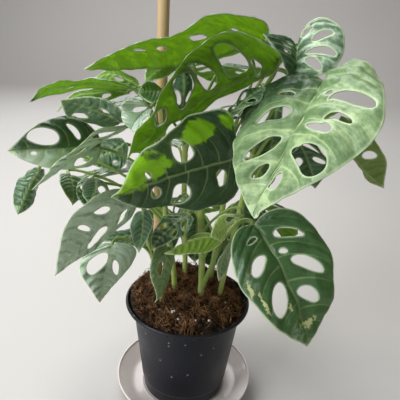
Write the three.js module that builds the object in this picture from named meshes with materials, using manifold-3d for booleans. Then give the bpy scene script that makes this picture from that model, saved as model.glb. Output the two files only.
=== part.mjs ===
// A monstera adansonii in its nursery pot: saucer, pot, potting soil, stake, rooted stems with their
// leaf stalks, and one blade for each leaf. Millimetres, +Z up. The origin is on the surface that the
// saucer stands on, on the pot's axis.
import * as THREE from 'three';
import { mergeVertices } from 'three/addons/utils/BufferGeometryUtils.js';
import Module from 'manifold-3d';

const wasm = await Module();
wasm.setup();

// ---------------------------------------------------------------- driving dimensions

const GAP = 0.3; // left between pieces that touch

const SAUCER = { radius: 80, height: 16, footRadius: 62, thick: 1.6, lip: 1.6, ringRadii: [30, 50] };
const POT = {
  rimRadius: 70, height: 118, footRadius: 48, neckRadius: 61, shoulderRadius: 66.5,
  neckDrop: 11, rimDrop: 4.5, wall: 1.5, floor: 2.5,
};
const DRAIN = { count: 6, radius: 4, circle: 30 };
const SOIL = { crown: 12, edgeHigh: 5, edgeLow: -10, highTowards: 125, relief: 2.6 }; // heights from the rim
const STAKE = { radius: 5.8, length: 408, foot: 84, x: -38, y: 30 };
const BLADE = 0.8; // thickness of a leaf blade
const STEM = { sides: 7, steps: 8 };
const STALK = { radius: 1.6, sides: 5, steps: 5, stop: 0.9 }; // stop: what stays clear under the blade
const ROUND = 40; // sides of the pot and the saucer

const potFoot = SAUCER.thick + GAP; // where the pot stands
const rimTop = potFoot + POT.height;
const potInside = POT.shoulderRadius - POT.wall;

/** The pot's outer radius at a height. */
function potOutside(z) {
  const neck = rimTop - POT.neckDrop;
  const shoulder = rimTop - POT.rimDrop;
  if (z < neck) return THREE.MathUtils.mapLinear(z, potFoot, neck, POT.footRadius, POT.neckRadius);
  return THREE.MathUtils.mapLinear(Math.min(z, shoulder), neck, shoulder, POT.neckRadius, POT.shoulderRadius);
}

// ---------------------------------------------------------------- materials

function material(color, roughness, extra = {}) {
  return new THREE.MeshStandardMaterial({ color, roughness, ...extra });
}

const clearPlastic = material(0xd9cfcb, 0.35, { transparent: true, opacity: 0.6 });
const charcoalPlastic = material(0x26272b, 0.45);
const soilBrown = material(0x4a3220, 0.95);
const woodTan = material(0xc39a66, 0.7);
const stemGreen = material(0x9ab04c, 0.5);
const leafGreen = material(0x3f7a3c, 0.4, { side: THREE.DoubleSide });

// ---------------------------------------------------------------- solids

/** A closed geometry as a manifold-3d solid. */
function toSolid(geometry) {
  const bare = geometry.clone();
  bare.deleteAttribute('normal');
  bare.deleteAttribute('uv');
  const merged = mergeVertices(bare, 1e-4);
  const vertProperties = new Float32Array(merged.attributes.position.array);
  const triVerts = new Uint32Array(merged.index.array);
  return new wasm.Manifold(new wasm.Mesh({ numProp: 3, vertProperties, triVerts }));
}

/** A manifold-3d solid as a geometry. */
function toGeometry(solid) {
  const mesh = solid.getMesh();
  const geometry = new THREE.BufferGeometry();
  geometry.setAttribute('position', new THREE.Float32BufferAttribute(mesh.vertProperties, 3));
  geometry.setIndex([...mesh.triVerts]);
  geometry.computeVertexNormals();
  return geometry;
}

const object = new THREE.Group();

function addPiece(name, geometry, look) {
  const mesh = new THREE.Mesh(geometry, look);
  mesh.name = name;
  object.add(mesh);
}

/** Turns [radius, height] points round the Z axis. */
function turned(points, sides = ROUND) {
  const profile = points.map(([radius, height]) => new THREE.Vector2(radius, height));
  return new THREE.LatheGeometry(profile, sides).rotateX(Math.PI / 2);
}

function cylinder(radius, bottom, top, x = 0, y = 0, sides = 16) {
  const length = top - bottom;
  return new THREE.CylinderGeometry(radius, radius, length, sides)
    .rotateX(Math.PI / 2)
    .translate(x, y, bottom + length / 2);
}

/** A round bar along a curve, closed at both ends. */
function bar(curve, radius, sides, steps) {
  const section = new THREE.Shape();
  for (let i = 0; i < sides; i++) {
    const angle = (2 * Math.PI * i) / sides;
    section[i ? 'lineTo' : 'moveTo'](radius * Math.cos(angle), radius * Math.sin(angle));
  }
  return new THREE.ExtrudeGeometry(section, { extrudePath: curve, steps, bevelEnabled: false });
}

// ---------------------------------------------------------------- saucer

function saucer() {
  const { radius, height, footRadius, thick, lip, ringRadii } = SAUCER;
  const inside = [[radius, height], [radius - lip, height], [radius - 5, height - 4], [footRadius, thick]];
  const rings = [...ringRadii].reverse().flatMap((ring) => [
    [ring + 1.2, thick],
    [ring, thick - 0.5],
    [ring - 1.2, thick],
  ]);
  const outside = [[footRadius - 1, 0], [radius - 4, height - 6], [radius, height - 2]];
  return turned([[0, 0], ...outside, ...inside, ...rings, [0, thick]]);
}

// ---------------------------------------------------------------- pot

function pot() {
  const { rimRadius, footRadius, neckRadius, shoulderRadius, neckDrop, rimDrop, wall, floor } = POT;
  const step = potFoot + 16; // the body narrows a little above its foot
  const outside = [
    [footRadius - 2, potFoot],
    [footRadius, potFoot + 2],
    [potOutside(step) - 0.4, step - 1],
    [potOutside(step) + 0.4, step + 1],
    [neckRadius, rimTop - neckDrop],
    [shoulderRadius, rimTop - rimDrop],
    [rimRadius - 0.8, rimTop - rimDrop + 0.4],
    [rimRadius, rimTop - rimDrop + 1.4],
    [rimRadius, rimTop - 1],
    [rimRadius - 1, rimTop],
  ];
  const inside = [
    [rimRadius - 2, rimTop],
    [shoulderRadius - wall, rimTop - rimDrop],
    [neckRadius - wall, rimTop - neckDrop],
    [footRadius - wall, potFoot + floor],
  ];
  const body = toSolid(turned([[0, potFoot], ...outside, ...inside, [0, potFoot + floor]]));
  const drains = Array.from({ length: DRAIN.count }, (_, i) => {
    const angle = (2 * Math.PI * i) / DRAIN.count;
    const x = DRAIN.circle * Math.cos(angle);
    const y = DRAIN.circle * Math.sin(angle);
    return toSolid(cylinder(DRAIN.radius, potFoot - 1, potFoot + floor + 1, x, y, 10));
  });
  return toGeometry(drains.reduce((solid, drain) => solid.subtract(drain), body));
}

// ---------------------------------------------------------------- rooted stems

/** Each stem's centre line, from inside the soil to its growing end. */
const STEMS = {
  front: { radius: 3.5, line: [[14, -13, 105], [14, -14, 150], [12, -12, 190], [8, -8, 240], [6, -4, 285]] },
  left: { radius: 3, line: [[-14, -5, 110], [-17, -6, 155], [-24, -8, 200], [-31, -8, 250], [-36, -6, 300]] },
  corner: { radius: 2.6, line: [[-27, -21, 105], [-29, -24, 140], [-36, -28, 175], [-46, -30, 215]] },
  right: { radius: 3, line: [[34, -2, 105], [38, -4, 150], [45, -6, 205], [52, -6, 255], [58, -4, 300]] },
  rear_left: { radius: 3, line: [[-4, 26, 110], [-6, 30, 160], [-10, 36, 220], [-12, 42, 290]] },
  rear_right: { radius: 3, line: [[24, 22, 110], [28, 26, 160], [34, 30, 225], [36, 32, 300]] },
};

// ---------------------------------------------------------------- leaves

// A leaf lies from base to tip, width across, turned by roll about that line. fold lifts its left and
// right halves, droop curls them down, arch and hook bend the midrib, twist turns the tip, bend curves
// the midrib sideways and wave ripples the margin. Angles are in degrees, arch and hook in leaf lengths.
// stem and node say which stem carries the leaf and how high on it. Its stalk is thick in radius, rises
// by upright of its own length as it leaves the stem, reach says how straight it comes into the blade,
// and stop how far under the blade it ends. halfWidth and leafHoles say how margins and holes are given.
const LEAF_ROWS = [
  // front and right
  {
    stem: 'right', node: 275, base: [102, -64, 378], tip: [44, -140, 287], width: 128, fold: [55, 15],
    droop: 60, bend: 15, twist: -5, wave: 6, arch: 0.14, phase: 0.3,
    margins: [
      [1, 0.56, 0.14], [1, 0.8, 0.1], [-1, 0.1, 0.08], [-1, 0.32, 0.15], [-1, 0.56, -0.15],
      [-1, 0.8, -0.15],
    ],
    holes: [
      [-1, 0.19, 0.37, 0.024, 0.105, -0.025, 0], [-1, 0.37, 0.39, 0.04, 0.23, 0.02, -0.1],
      [-1, 0.61, 0.4, 0.048, 0.27, 0.055, -0.3], [-1, 0.75, 0.32, 0.033, 0.18, 0.03, -0.35],
      [1, 0.785, 0.28, 0.045, 0.24, 0, -0.1], [1, 0.25, 0.37, 0.019, 0.1, 0.01, 0.25],
      [1, 0.25, 0.66, 0.042, 0.27, -0.06, 0.85], [1, 0.4, 0.59, 0.02, 0.175, -0.02, 0.05],
      [1, 0.475, 0.42, 0.025, 0.2, 0, 0.25], [1, 0.615, 0.55, 0.062, 0.34, 0, 0.3],
    ],
  },
  {
    stem: 'front', node: 140, thick: 2.4, upright: 0.1, base: [60, -44, 237], tip: [116, -96, 136],
    width: 99, roll: 16, fold: [27, 14], arch: 0.08, bend: 4, twist: -28, wave: 3, phase: 0.15,
    margins: [[1, 0.1, 0.15], [1, 0.32, 0.1], [1, 0.8, 0.28], [-1, 0.56, -0.1]],
    holes: [
      [1, 0.11, 0.47, 0.04, 0.245, -0.025, 0.2], [1, 0.37, 0.48, 0.056, 0.27, 0.02, 0.23],
      [1, 0.61, 0.31, 0.064, 0.2, 0.02, 0.15], [1, 0.265, 0.18, 0.019, 0.07, 0, 0],
      [-1, 0.06, 0.4, 0.017, 0.15, -0.03, 0.25], [-1, 0.23, 0.46, 0.052, 0.22, -0.01, 0.3],
      [-1, 0.53, 0.44, 0.09, 0.3, 0.03, 0],
    ],
  },
  {
    stem: 'front', node: 235, base: [33, -64, 307], tip: [-65, -107, 282], width: 102, roll: -100,
    fold: [8, 19], arch: 0.03, bend: -10, twist: -25, wave: 6, phase: -0.45,
    margins: [
      [1, 0.1, 0.28], [1, 0.32, -0.15], [1, 0.56, -0.28], [1, 0.8, -0.2], [-1, 0.1, 0.4], [-1, 0.8, 0.19],
    ],
    holes: [
      [-1, 0.385, 0.53, 0.072, 0.27, -0.01, -0.3], [-1, 0.7, 0.28, 0.018, 0.16, 0, 0.15],
      [1, 0.655, 0.3, 0.037, 0.155, -0.015, 0.15], [1, 0.415, 0.56, 0.07, 0.3, -0.04, -0.15],
      [1, 0.105, 0.33, 0.044, 0.16, -0.025, -0.15],
    ],
  },
  {
    stem: 'right', node: 292, base: [65, -38, 382], tip: [-55, -104, 318], width: 106, roll: 48,
    fold: [17, 15], droop: 0, arch: 0.06, wave: 4, phase: 0.54, bend: 2, twist: 8, hook: 0.01,
    margins: [[1, 0.1, -0.18], [1, 0.8, -0.43], [-1, 0.1, -0.2], [-1, 0.32, -0.35], [-1, 0.8, 0.3]],
    holes: [
      [1, 0.21, 0.48, 0.076, 0.36, -0.045, 0.035], [1, 0.1, 0.28, 0.027, 0.24, -0.022, 0.26],
      [1, 0.4, 0.46, 0.044, 0.38, -0.004, -0.45], [1, 0.535, 0.45, 0.055, 0.38, -0.068, 0.08],
      [1, 0.72, 0.43, 0.045, 0.38, -0.022, -0.26],
    ],
  },
  {
    stem: 'rear_right', node: 295, base: [55, 2, 402], tip: [-96, -54, 375], width: 90, roll: 28,
    fold: [25, 27], droop: -10, arch: -0.05, wave: 2, phase: 0.4, twist: 12,
    margins: [[1, 0.56, -0.3], [1, 0.8, -0.15]],
    holes: [
      [1, 0.33, 0.6, 0.032, 0.12, 0.01, -0.4], [1, 0.545, 0.57, 0.03, 0.075, 0, 0.2],
      [1, 0.665, 0.66, 0.014, 0.09, 0.02, 0], [1, 0.095, 0.62, 0.017, 0.04, 0, -0.2],
      [-1, 0.2, 0.5, 0.04, 0.25, 0, 0], [-1, 0.42, 0.5, 0.04, 0.22, 0, 0],
    ],
  },
  {
    stem: 'rear_right', node: 270, base: [87, 1, 400], tip: [76, -40, 369], width: 81, roll: -13,
    fold: [69, 47], droop: 50, arch: 0.08, bend: 8, twist: -59, wave: 0,
    margins: [[1, 0.1, 0.2], [1, 0.32, 0.12], [1, 0.56, 0.08], [1, 0.8, 0.3], [-1, 0.32, -0.22]],
    holes: [
      [1, 0.02, 0.5, 0.06, 0.16, -0.04, -0.1], [1, 0.2, 0.63, 0.057, 0.2, -0.068, 0],
      [1, 0.425, 0.57, 0.055, 0.31, -0.02, 0.15], [1, 0.623, 0.5, 0.063, 0.25, 0.065, -0.1],
      [-1, 0.2, 0.35, 0.03, 0.1, 0, 0], [-1, 0.37, 0.42, 0.03, 0.12, 0, 0],
      [-1, 0.53, 0.4, 0.025, 0.1, 0, 0],
    ],
  },
  {
    stem: 'right', node: 235, base: [130, -23, 336], tip: [170, -60, 287], width: 64, roll: -57,
    fold: [60, 35], droop: 40, arch: -0.05, bend: 25, twist: -69, wave: 4,
  },
  {
    stem: 'front', node: 280, base: [27, -64, 346], tip: [56, -53, 368], width: 30, fold: [10, 11],
    arch: 0.06, twist: 23, wave: 2, reach: 0.3, roll: 0, holes: 2,
  },
  {
    stem: 'right', node: 150, base: [40, -23, 204], tip: [31, -45, 171], width: 26, roll: -77,
    fold: [6, 22], droop: 7, arch: -0.04, bend: -16, twist: 32, wave: 1, holes: 0,
  },
  {
    stem: 'front', node: 205, base: [46, -44, 245], tip: [18, -60, 229], width: 42, roll: -128,
    fold: [27, 9], droop: 40, arch: 0, bend: 11, twist: 50, wave: 1, holes: 1,
  },
  {
    stem: 'front', node: 172, base: [30, -42, 220], tip: [-24, -60, 207], width: 30, roll: 164,
    fold: [60, 60], droop: 50, arch: -0.05, bend: 20, twist: 60, wave: 1, holes: 0,
  },
  // left
  {
    stem: 'corner', node: 205, base: [-52, -61, 261], tip: [-113, -111, 209], width: 67, roll: -110,
    fold: [-17, -16], droop: -10, arch: 0, bend: -18, twist: -8, wave: 1,
    holes: [
      [1, 0.45, 0.42, 0.13, 0.3, 0, 0], [1, 0.12, 0.45, 0.05, 0.25, 0, 0],
      [-1, 0.26, 0.45, 0.06, 0.17, 0, 0], [-1, 0.5, 0.4, 0.03, 0.2, 0, 0],
    ],
  },
  {
    stem: 'corner', node: 188, base: [-75, -52, 211], tip: [-82, -82, 164], width: 51, roll: -39,
    fold: [-4, 13], droop: 45, arch: 0.13, bend: -14, twist: -58, wave: 1, phase: 0.2,
    margins: [[1, 0.1, 0.6], [1, 0.32, 0.2], [-1, 0.1, -0.1], [-1, 0.8, -0.15]],
    holes: [[-1, 0.31, 0.4, 0.185, 0.34, 0.04, 0.1], [1, 0.36, 0.37, 0.086, 0.2, 0.05, -0.35]],
  },
  {
    stem: 'corner', node: 212, base: [-48, -42, 243], tip: [-48, -68, 212], width: 35, roll: 50,
    fold: [9, 13], droop: 6, arch: -0.04, bend: 7, twist: 11, wave: 1, holes: 0,
  },
  {
    stem: 'corner', node: 165, base: [-25, -34, 201], tip: [-31, -65, 155], width: 42, roll: -73,
    fold: [15, 11], droop: 48, arch: 0.06, twist: -31, wave: 1,
    holes: [[-1, 0.36, 0.42, 0.13, 0.22, 0, 0]],
  },
  {
    stem: 'left', node: 262, base: [-40, -60, 347], tip: [-56, -61, 326], width: 39, roll: -84,
    fold: [71, 39], droop: 6, arch: 0.04, bend: -20, twist: 13, wave: 6, phase: 0.78, hook: 0.06,
    margins: [
      [1, 0.1, -0.45], [1, 0.32, -0.08], [1, 0.8, -0.09], [-1, 0.1, 0.08], [-1, 0.32, 0.09],
      [-1, 0.56, -0.08], [-1, 0.8, 0.2],
    ],
    holes: [[-1, 0.21, 0.3, 0.16, 0.2, 0.03, 0.08], [1, 0.17, 0.66, 0.11, 0.11, -0.1, -0.08]],
  },
  {
    stem: 'left', node: 280, base: [-68, -40, 328], tip: [-112, -72, 353], width: 52, roll: -139,
    fold: [10, 27], droop: 21, arch: 0, bend: -7, twist: 28, wave: 0, hook: -0.04, phase: 0,
    margins: [[1, 0.32, -0.23], [1, 0.56, -0.29], [-1, 0.1, -0.48]],
    holes: [[1, 0.51, 0.69, 0.13, 0.22, -0.02, -0.16], [-1, 0.33, 0.27, 0.1, 0.22, 0.08, 0.06]],
  },
  {
    stem: 'left', node: 248, base: [-91, -23, 298], tip: [-158, -74, 306], width: 59, roll: -71,
    fold: [-16, 24], droop: 70, arch: 0.11, bend: 0, twist: -21, wave: 4, hook: 0.03, phase: 0.05,
    margins: [[-1, 0.32, 0.07], [1, 0.56, -0.09]],
    holes: [
      [-1, 0.634, 0.53, 0.142, 0.385, 0.023, -0.05], [-1, 0.27, 0.5, 0.05, 0.22, 0, 0],
      [1, 0.766, 0.17, 0.027, 0.106, 0, 0.15], [1, 0.112, 0.53, 0.105, 0.197, -0.06, -0.06],
    ],
  },
  {
    stem: 'front', node: 283, base: [-20, 14, 381], tip: [-52, -5, 361], width: 36, roll: 155,
    fold: [21, -1], droop: 42, arch: 0.04, bend: 4, twist: -40, wave: 1, stop: 0.9, hook: -0.06, phase: 0,
    holes: 0,
    margins: [[1, 0.32, -0.1], [1, 0.8, -0.09], [-1, 0.1, -0.11], [-1, 0.32, 0.07], [-1, 0.8, -0.37]],
  },
  {
    stem: 'front', node: 265, base: [-15, -18, 337], tip: [-16, -20, 379], width: 24, roll: -134,
    fold: [-9, -6], droop: 52, arch: 0.16, bend: 2, twist: -39, wave: -1, hook: 0.03, phase: 0, holes: 1,
    margins: [[-1, 0.1, 0.21], [-1, 0.56, -0.18], [-1, 0.8, -0.11]],
  },
  {
    stem: 'left', node: 298, base: [-28.6, -22, 353], tip: [-55, -27, 351.5], width: 32, roll: -28,
    fold: [18, 8], arch: 0.08, bend: 2, twist: -63, wave: 1, droop: 29, hook: -0.02, phase: 0, holes: 0,
    margins: [[1, 0.8, -0.07], [-1, 0.8, -0.09]],
  },
  {
    stem: 'left', node: 290, base: [-58, -21, 354], tip: [-144, -53, 349], width: 53, roll: 15,
    fold: [18, 6], arch: 0.09, bend: -5, twist: 32, wave: 2, droop: 27, hook: 0.04, phase: -0.23,
    margins: [
      [1, 0.1, -0.34], [1, 0.56, -0.66], [1, 0.8, -0.39], [-1, 0.1, 0.11], [-1, 0.56, -0.16],
      [-1, 0.8, -0.14],
    ],
    holes: [[-1, 0.3, 0.45, 0.06, 0.2, 0, 0], [-1, 0.55, 0.45, 0.05, 0.2, 0, 0]],
  },
  {
    stem: 'left', node: 298, base: [-60, 20, 349], tip: [-104, 13, 357], width: 35, roll: 162,
    fold: [11, 6], arch: -0.14, twist: -3, wave: 0, droop: 24, hook: -0.05, bend: 2, phase: 0.01,
    stop: 1.1,
    margins: [[1, 0.1, 0.22], [1, 0.32, -0.18], [1, 0.56, -0.11], [-1, 0.1, -0.07]],
    holes: [[-1, 0.45, 0.24, 0.09, 0.17, 0, -0.2]],
  },
  {
    stem: 'left', node: 268, base: [-64, -32, 321], tip: [-138, -79, 273], width: 29, roll: -123,
    fold: [-16, 15], droop: 57, arch: 0, bend: -16, wave: 3, phase: 0.75, hook: 0.01, twist: 0, stop: 1.2,
    holes: 2,
    margins: [[1, 0.32, -0.45], [1, 0.56, -0.5], [-1, 0.1, -0.24], [-1, 0.56, -0.27], [-1, 0.8, -0.19]],
  },
  {
    stem: 'left', node: 225, base: [-148, -30, 275], tip: [-171, -35, 229], width: 45, roll: -110,
    fold: [-4, -32], droop: 90, arch: -0.05, bend: -3, twist: 19, wave: 3, hook: -0.02, phase: 0.7,
    stop: 1.2,
    margins: [[1, 0.1, -0.27], [1, 0.56, 0.09], [-1, 0.1, -0.5], [-1, 0.32, -0.5]],
    holes: [[1, 0.35, 0.5, 0.07, 0.18, 0, 0]],
  },
  {
    stem: 'left', node: 215, base: [-122, -18, 267], tip: [-115, -37, 243], width: 39, roll: -38,
    fold: [-1, 15], arch: 0.15, bend: -19, twist: -21, wave: 0, droop: 11, hook: 0.01, phase: 0,
    margins: [[1, 0.32, 0.13], [-1, 0.32, -0.11]],
    holes: [[1, 0.28, 0.53, 0.086, 0.18, 0.044, -0.03]],
  },
  {
    stem: 'left', node: 232, base: [-92, -39, 272], tip: [-89, -82, 268], width: 26, fold: [0, 10],
    arch: -0.04, bend: 11, twist: 0, wave: 0, roll: -4, droop: 22, hook: 0.08, phase: 0,
    margins: [[1, 0.1, -0.21], [-1, 0.1, 0.14], [-1, 0.56, -0.12]],
    holes: [[1, 0.34, 0.41, 0.16, 0.3, -0.02, 0.5]],
  },
  // partly hidden behind those
  {
    stem: 'left', node: 240, base: [-74, 21, 291], tip: [-112, -3, 276], width: 39, wave: -1, roll: -19,
    fold: [-1, 18], droop: 28, arch: -0.02, hook: -0.05, bend: 8, twist: -15, phase: 1.27,
    margins: [[1, 0.1, -0.14], [1, 0.32, 0.15], [1, 0.56, 0.16], [-1, 0.56, -0.11]],
    holes: [[1, 0.33, 0.66, 0.055, 0.13, -0.05, -0.1]],
  },
  { stem: 'front', node: 275, base: [44, -8, 341], tip: [8, -30, 324], width: 36, wave: 1, holes: 1 },
  {
    stem: 'rear_right', node: 280, base: [40, 24, 389], tip: [5, 8, 375], width: 44, roll: 20, wave: 1,
    holes: 1,
  },
  { stem: 'right', node: 255, base: [93, -25, 317], tip: [109, -60, 283], width: 46, wave: 2, holes: 2 },
  {
    stem: 'rear_right', node: 290, base: [70, 25, 382], tip: [57, 15, 417], width: 26, roll: 180, wave: 1,
    holes: 1,
  },
  { stem: 'left', node: 195, base: [-4, -22, 232], tip: [-38, -50, 206], width: 38, wave: 2, holes: 2 },
  {
    stem: 'front', node: 212, base: [-11, 6, 242], tip: [-13, -9, 205], width: 17, wave: 1, stop: 1.4,
    holes: 1,
  },
  {
    stem: 'left', node: 205, base: [-100, -18, 264], tip: [-96, -42, 238], width: 34, roll: -20, wave: 1,
    holes: 1,
  },
  { stem: 'left', node: 170, base: [-36, 0, 192], tip: [-95, -14, 193], width: 40, wave: 2, holes: 0 },
  // the rear
  { stem: 'rear_left', node: 285, base: [-50, 45, 330], tip: [-130, 95, 300], width: 90 },
  { stem: 'rear_left', node: 275, base: [20, 55, 370], tip: [35, 150, 330], width: 95 },
  { stem: 'rear_right', node: 255, base: [80, 40, 350], tip: [150, 100, 310], width: 90 },
  { stem: 'rear_left', node: 230, base: [-20, 60, 280], tip: [-60, 150, 240], width: 85 },
  { stem: 'rear_right', node: 215, base: [50, 60, 270], tip: [90, 140, 215], width: 80 },
  { stem: 'left', node: 190, base: [-70, 25, 260], tip: [-150, 60, 220], width: 75 },
  { stem: 'rear_right', node: 190, base: [70, 20, 240], tip: [112, 52, 172], width: 75 },
  { stem: 'rear_left', node: 165, base: [0, 70, 210], tip: [5, 130, 160], width: 70 },
  // low among the stems
  {
    stem: 'rear_right', node: 175, base: [7, 55, 199], tip: [6, 47, 138], width: 38, wave: 2, stop: 1.4,
    holes: 0,
  },
  {
    stem: 'rear_left', node: 175, base: [-39, 58, 202], tip: [-39, 50, 136], width: 50, wave: 2,
    stop: 1.35, holes: 0,
  },
  { stem: 'rear_right', node: 200, base: [60, 58, 214], tip: [60, 48, 148], width: 56, wave: 2, holes: 0 },
  {
    stem: 'rear_right', node: 145, base: [28, 63, 168], tip: [28, 58, 126], width: 44, wave: 2, stop: 1.2,
    holes: 0,
  },
  // behind the large leaf at the right, and over the left leaves
  { stem: 'rear_right', node: 240, base: [80, 21, 358], tip: [76, 7, 262], width: 56, wave: 2, holes: 1 },
  {
    stem: 'left', node: 285, base: [-67, -1, 348], tip: [-135, -12, 341], width: 22, wave: 2, roll: 154,
    fold: [13, 9], droop: 25, arch: -0.01, hook: -0.25, bend: 0, twist: -2, phase: 0,
    margins: [[1, 0.32, -0.24], [1, 0.56, -0.16], [-1, 0.1, -0.26]],
    holes: [[-1, 0.26, 0.42, 0.055, 0.34, -0.048, -0.23]],
  },
];

const SWEEP = 0.34; // how far a side vein runs forward on its way to the margin
const LOBE = 0.16; // how far the two lobes reach back behind the stalk
const WIDEST = 0.5395; // makes the half width 1 where the leaf is widest
const SWELL = 0.13; // how far along the leaf one change of its margin spreads
const LEAF_DEFAULTS = {
  roll: 0, fold: [12, 12], droop: 25, arch: 0.08, hook: 0, bend: 0, twist: 0, wave: 2.5, phase: 0,
  margins: [], holes: 3, reach: 1, thick: STALK.radius, upright: 0.28, stop: STALK.stop,
};

const LEAVES = LEAF_ROWS.map((row, i) => {
  return { ...LEAF_DEFAULTS, name: `leaf_${String(i + 1).padStart(2, '0')}`, seed: 10 * i, ...row };
});

const radians = THREE.MathUtils.degToRad;
const scatter = (seed) => {
  const value = Math.sin(seed * 12.9898) * 43758.5453;
  return value - Math.floor(value);
};

/** The flat leaf's half width at s of its length. A margin swells or shrinks it as [side, place, amount]. */
function halfWidth(leaf, side, s) {
  const swell = leaf.margins
    .filter((margin) => margin[0] === side)
    .reduce((sum, [, place, amount]) => sum + amount * Math.exp(-(((s - place) / SWELL) ** 2)), 1);
  return (swell * Math.sqrt(s) * (1 - s ** 2.2) ** 1.15) / WIDEST;
}

/** The leaf's own axes: X along the midrib, Y to its left, Z out of its upper face. */
function leafFrame(leaf) {
  const base = new THREE.Vector3(...leaf.base);
  const along = new THREE.Vector3(...leaf.tip).sub(base);
  const length = along.length();
  const X = along.normalize();
  const up = new THREE.Vector3(0, 0, 1);
  const Z = up.addScaledVector(X, -up.dot(X)).normalize().applyAxisAngle(X, radians(leaf.roll));
  const Y = new THREE.Vector3().crossVectors(Z, X);
  return { base, X, Y, Z, length };
}

/** Where a point of the flat leaf lies in space: x in leaf lengths, y in half widths. */
function onLeaf(leaf, frame, xFlat, y) {
  const { base, X, Y, Z, length } = frame;
  const out = Math.abs(y);
  const side = y >= 0 ? 1 : -1;
  const x = xFlat - LOBE * out * (1 - xFlat) ** 3;
  const late = Math.max(x - 0.6, 0) / 0.4;
  const rise = 4 * leaf.arch * x * (1 - x) - leaf.hook * late ** 2;
  const slope = 4 * leaf.arch * (1 - 2 * x) - (2 * leaf.hook * late) / 0.4;
  const lift = radians(side > 0 ? leaf.fold[0] : leaf.fold[1]) - (radians(leaf.droop) * out) / 2;
  const reach = (out * leaf.width) / 2;
  const ripple = leaf.wave * out ** 2 * Math.sin(2 * Math.PI * (1.6 * x + 0.23 * side + leaf.phase));
  const sideways = reach * Math.cos(lift) * side;
  const height = reach * Math.sin(lift) + ripple;
  const turn = radians(leaf.twist) * (x - 0.4);
  const across = sideways * Math.cos(turn) - height * Math.sin(turn);
  const above = sideways * Math.sin(turn) + height * Math.cos(turn);
  const curve = length * Math.sin(radians(leaf.bend)) * x * (1 - x);
  const normal = Z.clone().addScaledVector(X, -slope).normalize();
  return base.clone()
    .addScaledVector(X, x * length)
    .addScaledVector(Z, rise * length)
    .addScaledVector(Y, across + curve)
    .addScaledVector(normal, above);
}

/** The upper face's normal, from two short steps; on the midrib it is the mean of both halves. */
function leafNormal(leaf, frame, x, y) {
  const step = 0.004;
  const ahead = onLeaf(leaf, frame, x + step, y).sub(onLeaf(leaf, frame, x - step, y));
  const across = onLeaf(leaf, frame, x, y + step).sub(onLeaf(leaf, frame, x, y - step));
  return ahead.cross(across).normalize();
}

/**
 * A leaf's holes, typed or from their number on each side: [side, vein, middle, half length, half reach,
 * lean, taper]. A hole lies along the side vein at vein, leans towards the tip on its way out and is
 * longer at its outer end where taper is above zero.
 */
function leafHoles(leaf) {
  if (Array.isArray(leaf.holes)) return leaf.holes;
  const holes = [];
  for (const side of [1, -1]) {
    for (let i = 0; i < leaf.holes; i++) {
      const seed = leaf.seed + 7 * i + (side > 0 ? 0 : 3);
      const vein = 0.05 + (0.62 * (i + 0.3)) / leaf.holes;
      const length = (0.16 / leaf.holes ** 0.9) * (0.75 + 0.4 * scatter(seed));
      holes.push([side, vein, 0.47 + 0.08 * scatter(seed + 1), length, 0.3 - 0.035 * i, 0, 0]);
    }
  }
  return holes;
}

/** One hole's outline on the flat leaf. */
function holeOutline(leaf, [side, vein, middle, halfLength, halfReach, lean, taper], count) {
  return Array.from({ length: count }, (_, i) => {
    const angle = (2 * Math.PI * (i + 0.5)) / count;
    const out = Math.cos(angle);
    const s = vein + halfLength * Math.sin(angle) * (1 + taper * out) + lean * out;
    const r = middle + halfReach * out;
    const x = s + SWEEP * r ** 1.6 * (1 - s);
    return new THREE.Vector2(x, side * r * halfWidth(leaf, side, x));
  });
}

/** Half of the blade's flat outline: out along one margin to the tip and back along the midrib. */
function halfOutline(leaf, side, rimCount, ribCount) {
  const points = [];
  for (let i = 0; i <= rimCount; i++) {
    const t = i / rimCount;
    const s = 0.5 * t ** 1.7 + 0.5 * (1 - (1 - t) ** 1.3);
    points.push(new THREE.Vector2(s, side * halfWidth(leaf, side, s)));
  }
  for (let i = ribCount - 1; i > 0; i--) points.push(new THREE.Vector2(i / ribCount, 0));
  return points;
}

/** Swaps the diagonals of neighbouring triangles while that makes them rounder. */
function evenOut(points, triangles) {
  const angleAt = (corner, a, b) => {
    const toA = a.clone().sub(corner);
    const toB = b.clone().sub(corner);
    return Math.acos(THREE.MathUtils.clamp(toA.dot(toB) / (toA.length() * toB.length()), -1, 1));
  };
  const turnOf = (a, b, c) => (b.x - a.x) * (c.y - a.y) - (b.y - a.y) * (c.x - a.x);
  for (let round = 0, swapped = true; swapped && round < 40; round++) {
    swapped = false;
    const owner = new Map();
    for (let t = 0; t < triangles.length && !swapped; t++) {
      for (let k = 0; k < 3; k++) {
        const [a, b, c] = [0, 1, 2].map((j) => triangles[t][(k + j) % 3]);
        const twin = owner.get(`${b},${a}`);
        owner.set(`${a},${b}`, { t, c });
        if (!twin) continue;
        const d = twin.c;
        const [pa, pb, pc, pd] = [a, b, c, d].map((i) => points[i]);
        if (turnOf(pc, pd, pb) < 1e-9 || turnOf(pd, pc, pa) < 1e-9) continue;
        if (angleAt(pc, pa, pb) + angleAt(pd, pa, pb) < Math.PI + 1e-6) continue;
        triangles[t] = [c, d, b];
        triangles[twin.t] = [d, c, a];
        swapped = true;
        break;
      }
    }
  }
  return triangles;
}

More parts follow.
